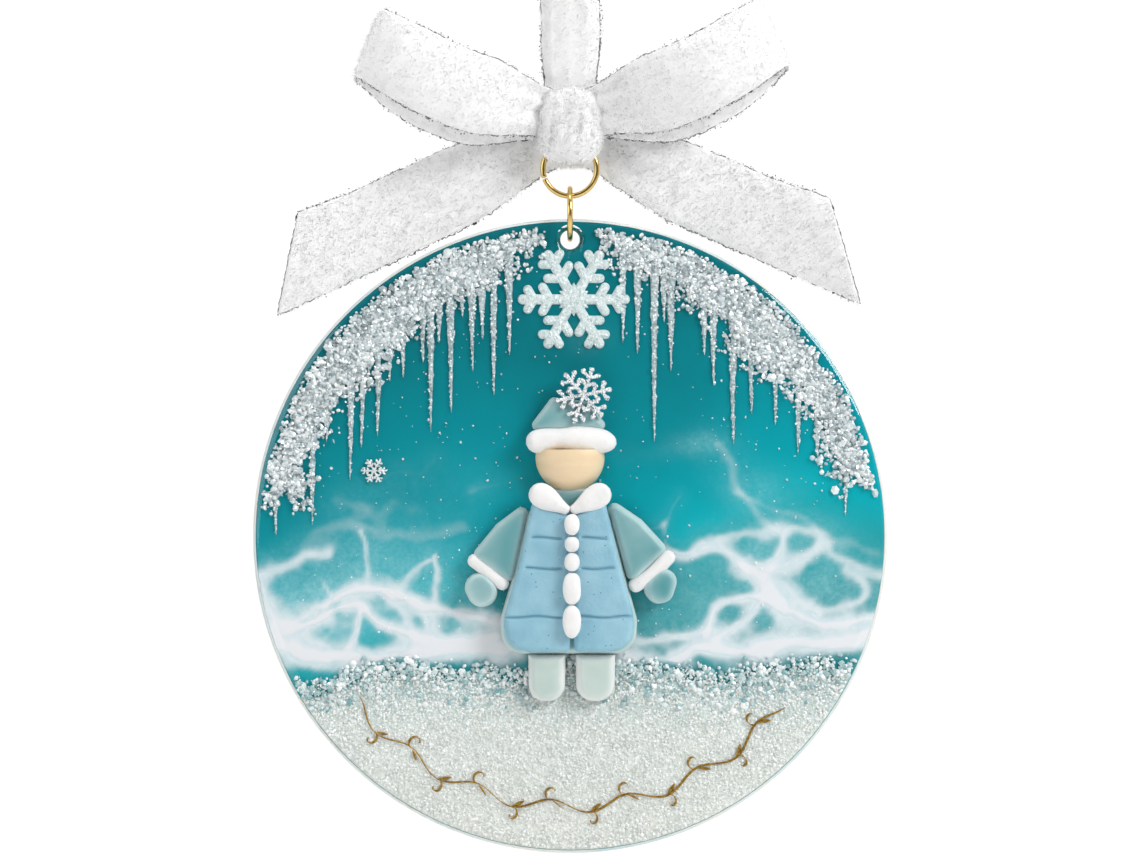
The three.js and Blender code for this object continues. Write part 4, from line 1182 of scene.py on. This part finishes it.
scroll = {"depth": paintDepth - 0.52, "radius": 42.6, "waves": 22, "pen": 0.2, "leafPen": 0.34}
turns = np.linspace(-0.93, 0.93, 200)
vine = scroll["radius"] + 1.0 * np.sin(turns * scroll["waves"])
vineLine = np.stack([vine * np.sin(turns), -vine * np.cos(turns)], -1)[::4]
strokes = [strokePlate(vineLine, scroll["pen"], scroll["depth"], 0.04)]
for number in range(12):
    # at every crest a curl springs off and winds inwards, alternately above and below, with a leaf behind it
    at = (number - 5.5) * np.pi / scroll["waves"]
    away = 1 if number % 2 else -1
    base = scroll["radius"] + 0.9 * np.sin(at * scroll["waves"] + 0.3)
    spin = np.linspace(0, 1, 16)
    radius = 1.25 * (1 - spin) ** 0.8 + 0.12
    angle = -away * spin * 4.6
    local = np.stack([radius * np.sin(angle) + spin * 0.3, away * (1.3 - radius * np.cos(angle))], -1)
    middle = np.array([base * math.sin(at), -base * math.cos(at)])
    right = np.array([math.cos(at), math.sin(at)])
    outward = np.array([-math.sin(at), math.cos(at)])
    strokes.append(strokePlate(middle + local[:, :1] * right + local[:, 1:] * outward,
                               scroll["pen"], scroll["depth"]))
    leaf = np.array([[0.2, 0], [1.0, away * -0.5], [1.9, away * -1.2]])
    strokes.append(strokePlate(middle + leaf[:, :1] * right + leaf[:, 1:] * outward,
                               scroll["leafPen"], scroll["depth"], 0.5))
points, faces = joined(strokes)
newPiece("scroll_brushwork", points, faces, goldPaint, "disc", ["gold_scroll"], "gold_paint")

rings = {"points": 180, "thick": 0.45, "gap": 0.02}
for name, body, radius, slitAt, plane, across in (
        ("upper_jump_ring", "upper_link", 4.25, 200, (0, 2), [0, 1.0, 0]),
        ("lower_jump_ring", "lower_link", 4.0, 70, (1, 2), [1.0, 0, 0])):
    # round wire once round, its two cut ends a hair apart and a little flattened by the pliers
    turn = math.radians(slitAt) + np.linspace(rings["gap"], 2 * np.pi - rings["gap"], rings["points"])
    out = np.zeros((rings["points"], 3))
    out[:, plane[0]], out[:, plane[1]] = np.cos(turn), np.sin(turn)
    wire = np.full(rings["points"], rings["thick"])
    wire[[0, -1]] = 0.38
    wire[[1, -2]] = 0.43
    points, faces = sweep(sum(nodeBox(name)) / 2 + out * radius, out, across, wire, wire, 20)
    newPiece(name + "_wire", points, faces, goldWire, body, [name], "gold_wire")

lip = paintDepth + 0.02
pearlShape = [(0.02, 0.55), (25, 0.55), (49.42, 0.55), (49.42, lip), (49.6, lip), (49.6, 2.3), (49.35, 2.47),
              (48, 2.5), (25, 2.5), (0.02, 2.5)]
pearlPiece = newPiece("pearl_back", *lathe(pearlShape, 240), pearl, "disc", ["pearl_backing"], "pearl_resin")
clearRound(pearlPiece)
print("scroll, rings and backing made")


def faceNormals(points, quads):
    # cross product of the two diagonals
    return np.cross(points[quads[:, 2]] - points[quads[:, 0]], points[quads[:, 3]] - points[quads[:, 1]])


def vertexNormals(points, quads):
    # every vertex takes the sum of its faces' normals
    each = faceNormals(points, quads)
    total = np.zeros_like(points)
    for k in range(4):
        np.add.at(total, quads[:, k], each)
    return total / np.maximum(np.linalg.norm(total, axis=1, keepdims=True), 1e-12)


def ruffled(points, quads, amount, size, seed):
    # each point moves along its normal by noise of two sizes
    normal = vertexNormals(points, quads)
    wave = softNoise(*points.T, size, seed) + 0.6 * softNoise(*points.T, size / 2.6, seed + 1)
    return points + normal * (amount * wave)[:, None]


velvetCloth = {"around": 44, "pile": 0.5, "pileLean": 0.55, "threadStep": 0.13, "beadStep": 0.28, "step": 0.42}


def standingPile(points, quads, count, seed, keep=None):
    # three-sided hairs rooted just under the surface at random spots, each leaning its own way
    rng = np.random.default_rng(seed)
    each = faceNormals(points, quads)
    area = np.linalg.norm(each, axis=1)
    chosen = rng.choice(len(quads), count, p=area / area.sum())
    corner = points[quads[chosen]]
    u, v = rng.uniform(0, 1, (2, count, 1))
    root = (corner[:, 0] * (1 - u) + corner[:, 1] * u) * (1 - v)
    root = root + (corner[:, 3] * (1 - u) + corner[:, 2] * u) * v
    normal = each[chosen] / np.maximum(area[chosen], 1e-12)[:, None]
    if keep is not None:
        wanted = keep(root)
        root, normal = root[wanted], normal[wanted]
    count = len(root)
    lean = normal + rng.normal(0, velvetCloth["pileLean"], (count, 3))
    tip = root + lean * (velvetCloth["pile"] * rng.uniform(0.5, 1.2, (count, 1)))
    across = np.cross(normal, rng.normal(size=(count, 3)))
    across /= np.linalg.norm(across, axis=1, keepdims=True)
    second = np.cross(normal, across)
    thick = rng.uniform(0.045, 0.075, (count, 1))
    base = root - normal * 0.05
    corners = [base + thick * (math.cos(a) * across + math.sin(a) * second) for a in (0, 2.094, 4.189)]
    hair = np.stack(corners + [tip], 1).reshape(-1, 3)
    one = np.array([[0, 1, 3], [1, 2, 3], [2, 0, 3], [2, 1, 0]])
    return hair, [(one[None] + (np.arange(count) * 4)[:, None, None]).reshape(-1, 3)]


def pathLength(path):
    return float(np.linalg.norm(np.diff(path, axis=0), axis=1).sum())


def edgeWire(line, away, up, seed):
    # fine thread along a selvedge, wandering in and out and looping into small picots
    count = int(pathLength(line) / velvetCloth["threadStep"])
    at = np.linspace(0, len(line) - 1, count)
    line, away, up = (
        np.stack([np.interp(at, np.arange(len(k)), k[:, j]) for j in range(3)], -1) for k in (line, away, up))
    steps = np.arange(count) * velvetCloth["threadStep"]
    out = 0.22 * softNoise(steps, seed, 0, 0.34, seed) + 0.2 * softNoise(steps, seed, 0, 1.4, seed + 1)
    lift = 0.2 * softNoise(steps, seed, 5, 0.4, seed + 2)
    path = line + away * out[:, None] + up * lift[:, None]
    way = tangents(path)
    side = np.cross(way, up)
    side /= np.maximum(np.linalg.norm(side, axis=1, keepdims=True), 1e-9)
    over = np.cross(side, way)
    thick = 0.08 + 0.11 * smoothStep(0.1, 0.8, softNoise(steps, seed, 9, 0.33, seed + 3))
    return sweep(path, side, over, thick, thick, 5)


def ribbon(path, across, width, deep, shift):
    # the shell of a ribbon: a flat rounded section carried along the path, its points then shifted by
    # a function of how far along and how far across they lie; returns the shell and its two edge lines
    way = tangents(path)
    up = np.cross(way, across)
    up /= np.linalg.norm(up, axis=1, keepdims=True)
    points, faces = sweep(path, across, up, width / 2, deep, velvetCloth["around"], False, 0.55)
    rows = len(path)
    share = np.concatenate([np.repeat(np.arange(rows), velvetCloth["around"]), [0, rows - 1]])
    v = np.einsum("ij,ij->i", points - path[share], across[share])
    lines = []
    for sign in (-1, 1):
        reach = sign * (width / 2 + 0.02)
        line = path + across * reach[:, None] + shift(np.arange(rows), reach)
        lines.append((line, across * sign, up))
    return points + shift(share, v), faces, lines


def outwardQuads(points, quads, around):
    # the quads in the order that faces away from the middle of their own ring
    middles = points[quads].mean(1)
    fromCore = middles - np.repeat(middles.reshape(-1, around, 3).mean(1), around, 0)
    facing = np.einsum("ij,ij->i", faceNormals(points, quads), fromCore).mean()
    return quads if facing > 0 else quads[:, ::-1]


def clearOfRing(root):
    # the tails' velvet is worn flat where the upper ring swings against it and where the disc's rim brushes it
    return ((np.abs(root[:, 0]) > 5.8) | (root[:, 1] > 2.6)) & (np.hypot(root[:, 0], root[:, 2]) > 51.9)


def dressRibbon(name, shell, faces, lines, node, body, hairs, flat, held, endLine=None, keep=None):
    # cloth, pile and edge thread of one ribbon; one without a body of its own has its placing baked into its
    # points
    quads = outwardQuads(shell, faces[0], velvetCloth["around"])
    shell = shell.copy()
    centre = shell[:quads.max() + 1]
    shell[:len(centre)] = ruffled(centre, quads, 0.09, 1.6, len(name))
    cloth = newPiece(name, shell, faces, velvet, body, [node], "white_velvet")
    hair, hairFaces = standingPile(shell, quads, hairs, len(name) + 3, keep)
    pile = newPiece(name + "_pile", hair, hairFaces, velvetPile, body, slot="white_velvet", outward=False)
    threads = [edgeWire(line, away, up, 7 * k + len(name)) for k, (line, away, up) in enumerate(lines)]
    if endLine is not None:
        threads.append(edgeWire(*endLine, 31))
    rng = np.random.default_rng(len(name))
    for line, away, up in lines:
        count = int(pathLength(line) / velvetCloth["beadStep"])
        at = rng.integers(0, len(line), count)
        centres = line[at] + away[at] * rng.normal(0, 0.24, (count, 1))
        centres = centres + up[at] * rng.normal(0, 0.2, (count, 1))
        threads.append(chips(centres, rng.uniform(0.06, 0.15, count), 5, 4)[:2])
    points, threadFaces = joined(threads)
    thread = newPiece(name + "_edge_thread", points, threadFaces, edgeThread, body, slot="white_velvet")
    if body is None:
        for piece in (cloth, pile, thread):
            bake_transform(piece)


knotMiddle = np.array([0.0, 0.3, 64.6])
bow = {"loopThick": 0.66, "loopHairs": 15000, "tailThick": 0.58, "tailHairs": 14000, "ribbonWidth": 0.0127}
loops = {
    "left": {"side": -1, "rise": 0.38, "reach": 33.4, "drop": 1.5},
    "right": {"side": 1, "rise": 0.42, "reach": 34.4, "drop": 1.7}}
for word, loop in loops.items():
    side, rise, reach = loop["side"], loop["rise"], loop["reach"]
    out = np.array([side * math.cos(rise), 0, math.sin(rise)])
    over = np.array([-side * math.sin(rise), 0, math.cos(rise)])
    route = curveThrough([[2.5, -1.9], [6, -2.8], [13, -6.2], [21, -8.2], [reach - 5, -8.3], [reach - 0.9, -6.7],
                          [reach, -4.0], [reach - 1.2, -1.3], [reach - 6, 0.0], [20, 0.1], [13, 0.0], [6, -0.3],
                          [2.5, -0.3]], velvetCloth["step"])
    along = route[:, 0]
    centreLine = -0.9 - loop["drop"] * np.sin(np.pi * np.clip((along - 4.5) / (reach - 4.5), 0, 1))
    root = knotMiddle + [0, -0.3, 0.9]
    behind = smoothStep(-6.5, -1.5, route[:, 1]) * np.sin(np.pi * np.clip((along - 3) / (reach - 1), 0, 1)) ** 0.7
    travelled = np.arange(len(along)) * velvetCloth["step"]
    centreLine = centreLine + 0.35 - 1.7 * behind * smoothStep(reach * 0.5, reach * 0.8, travelled)
    path = root + along[:, None] * out + centreLine[:, None] * over + route[:, 1:] * [0, 1, 0]
    width = (7.6 + 4.7 * smoothStep(3, 15, along)) * (1 - 0.07 * smoothStep(reach - 8, reach, along))
    across = np.tile(over, (len(path), 1))
    gather = 1 - smoothStep(5, 17, along)
    frontSide = smoothStep(-4.6, -5.6, route[:, 1]) * smoothStep(reach + 1, reach - 6, along)

    def loopShift(share, v):
        # pleats near the knot, and the open part crowned and gently wavy across
        u = v / width[share]
        deep = 0.42 * gather[share] * np.cos(u * 2 * np.pi * 2.5 + along[share] * 0.12)
        deep = deep - 0.9 * frontSide[share] * (1 - 4 * u * u)
        deep = deep + 0.5 * frontSide[share] * np.sin(along[share] * 0.22 + u * 2.2)
        return np.stack([0 * deep, deep, 0 * deep], -1)

    dressRibbon("velvet_loop_" + word, *ribbon(path, across, width, bow["loopThick"], loopShift),
                "bow_loop_" + word, "bow", bow["loopHairs"], (bow["ribbonWidth"], pathLength(path) * mm), "folded")
    print("loop", word, round(pathLength(path), 1), "mm")

tails = {
    "left": {"side": -1, "rise": -0.49, "length": 49.5, "slant": 0.82},
    "right": {"side": 1, "rise": -0.46, "length": 47.6, "slant": 0.92}}
for word, tail in tails.items():
    side, rise, length, slant = tail["side"], tail["rise"], tail["length"], tail["slant"]
    out = np.array([side * math.cos(rise), 0, math.sin(rise)])
    over = np.array([-side * math.sin(rise), 0, math.cos(rise)])
    route = curveThrough([[2.5, 3.0], [7, 3.0], [12, 2.8], [24, 2.6], [36, 1.7], [length, 0.6]],
                         velvetCloth["step"])
    along = route[:, 0]
    centreLine = 2.1 * (along / 50) ** 2 - 0.2
    path = knotMiddle + [0, -0.3, 0] + along[:, None] * out + centreLine[:, None] * over
    path = path + route[:, 1:] * [0, 1, 0]
    width = 8.4 + 4.3 * smoothStep(4, 22, along)
    across = np.tile(over, (len(path), 1))
    gather = 1 - smoothStep(5, 22, along)
    ending = smoothStep(length - 16, length, along)

    def tailShift(share, v):
        # pleats near the knot, a slow wave along, and the end drawn out along a slant for the cut
        u = v / width[share]
        deep = 0.34 * gather[share] * np.cos(u * 2 * np.pi * 2 + along[share] * 0.1)
        deep = deep - 0.35 * np.sin(along[share] * 0.16 + u * 1.6) * (1 - gather[share])
        deep = deep - 0.3 * (1 - 4 * u * u)
        return np.stack([0 * deep, deep, 0 * deep], -1) - (v * slant * ending[share])[:, None] * out

    rim = np.linspace(-0.5, 0.5, 60) * width[-1]
    last = np.full(60, len(path) - 1)
    cutLine = path[-1] + rim[:, None] * over + tailShift(last, rim) + out * 0.05
    endLine = (cutLine, np.tile(out, (60, 1)), np.tile([0, 1.0, 0], (60, 1)))
    dressRibbon("velvet_tail_" + word, *ribbon(path, across, width, bow["tailThick"], tailShift),
                "bow_tail_" + word, "bow", bow["tailHairs"], (bow["ribbonWidth"], pathLength(path) * mm), "hung",
                endLine, clearOfRing)
    print("tail", word, round(pathLength(path), 1), "mm")

hanger = {"thick": 0.5, "hairs": 22000, "ribbonWidth": 0.010}
halfWay = [[1.0, 70.2], [1.4, 74], [2.0, 80], [4.4, 98], [6.9, 116], [7.0, 128], [5.2, 136], [2.6, 139.6],
           [0, 140.5]]
whole = [[-y, z] for y, z in halfWay] + [[y, z] for y, z in halfWay[-2::-1]]
route = curveThrough(whole, velvetCloth["step"])
path = np.stack([np.zeros(len(route)), route[:, 0], route[:, 1]], -1)
across = np.tile([1.0, 0, 0], (len(path), 1))
hangerWidth = np.full(len(path), 9.1) - 1.1 * smoothStep(78, 71, route[:, 1])
wave = route[:, 1]


def hangerShift(share, v):
    # edges turned in a little and one soft crease down each side of the middle
    u = v / hangerWidth[share]
    sign = np.where(route[share, 0] < 0, 1.0, -1.0) * smoothStep(0, 2.5, np.abs(route[share, 0]))
    deep = sign * (0.9 * smoothStep(0.28, 0.5, np.abs(u)) + 0.28 * np.exp(-((np.abs(u + 0.05) - 0.2) / 0.05) ** 2))
    drift = 0.25 * np.sin(wave[share] * 0.11)
    return np.stack([drift * smoothStep(72, 84, wave[share]), deep, 0 * deep], -1)


dressRibbon("velvet_hanger", *ribbon(path, across, hangerWidth, hanger["thick"], hangerShift), "hanger_loop", None,
            hanger["hairs"], (hanger["ribbonWidth"], pathLength(path) * mm), "hung")
print("hanger", round(pathLength(path), 1), "mm")

# the knot: a band of the same ribbon wrapped round the middle, plump, with creases where it is pulled in
knotCloth = {"rows": 90, "around": 120, "hairs": 9000, "slotHeight": 57.9, "slotRadius": 4.25}
rows, around = knotCloth["rows"], knotCloth["around"]
tilt = np.linspace(-np.pi / 2, np.pi / 2, rows)
turn = np.linspace(0, 2 * np.pi, around, endpoint=False)
low, high = nodeBox("bow_knot")
middle, half = (low + high) / 2, (high - low) / 2
ringSize = bent(np.cos(tilt), 0.5)[:, None]
unit = np.stack([ringSize * bent(np.cos(turn), 0.62), ringSize * bent(np.sin(turn), 0.75),
                 np.broadcast_to(bent(np.sin(tilt), 0.72)[:, None], (rows, around))], -1).reshape(-1, 3)
x, y, z = unit.T
creases = 0
for at, lean, depth in ((-0.52, 0.12, 0.07), (-0.12, -0.08, 0.05), (0.3, 0.1, 0.06), (0.66, -0.05, 0.06)):
    creases = creases + depth * np.exp(-((x - at - lean * z) / 0.07) ** 2) * smoothStep(0.98, 0.2, np.abs(z))
pinch = 1 - 0.05 * smoothStep(-0.2, -1, z)
knotPoints = middle + unit * half * np.stack([pinch, 1 - creases, np.ones(len(x))], -1)
knotQuads = gridFaces(rows, around, False, True)
knotPoints = ruffled(knotPoints, knotQuads, 0.14, 1.8, 3)
knotPoints = np.clip(knotPoints, low - 0.1, high + 0.1)
knot = newPiece("velvet_knot", knotPoints, capped([knotQuads], rows, around), velvet, "bow", ["bow_knot"],
                "white_velvet")
slotTurn = np.linspace(0, 2 * np.pi, 80, endpoint=False)
slotOut = np.stack([np.cos(slotTurn), np.zeros(80), np.sin(slotTurn)], -1)
slotPath = np.array([0, 0.0, knotCloth["slotHeight"]]) + slotOut * knotCloth["slotRadius"]
tool, toolFaces = sweep(slotPath, slotOut, [0, 1.0, 0], 0.95, 1.6, 16, True, 0.6)
slotTool = newPiece("slot_tool", tool, toolFaces, velvet, None)
subtract(knot, slotTool)


def clearOfSlot(root):
    # no pile in the slot that the upper ring swings through
    away = np.hypot(root[:, 0], root[:, 2] - knotCloth["slotHeight"]) - knotCloth["slotRadius"]
    return (np.abs(root[:, 1]) > 2.2) | (np.abs(away) > 1.4)


hair, hairFaces = standingPile(knotPoints, outwardQuads(knotPoints, knotQuads, around), knotCloth["hairs"], 8,
                               clearOfSlot)
newPiece("velvet_knot_pile", hair, hairFaces, velvetPile, "bow", slot="white_velvet", outward=False)
print("bow made")
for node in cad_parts.values():
    if not node.data.materials or node.data.materials[0] is None:
        node.data.materials.append(velvet)
stageLights()
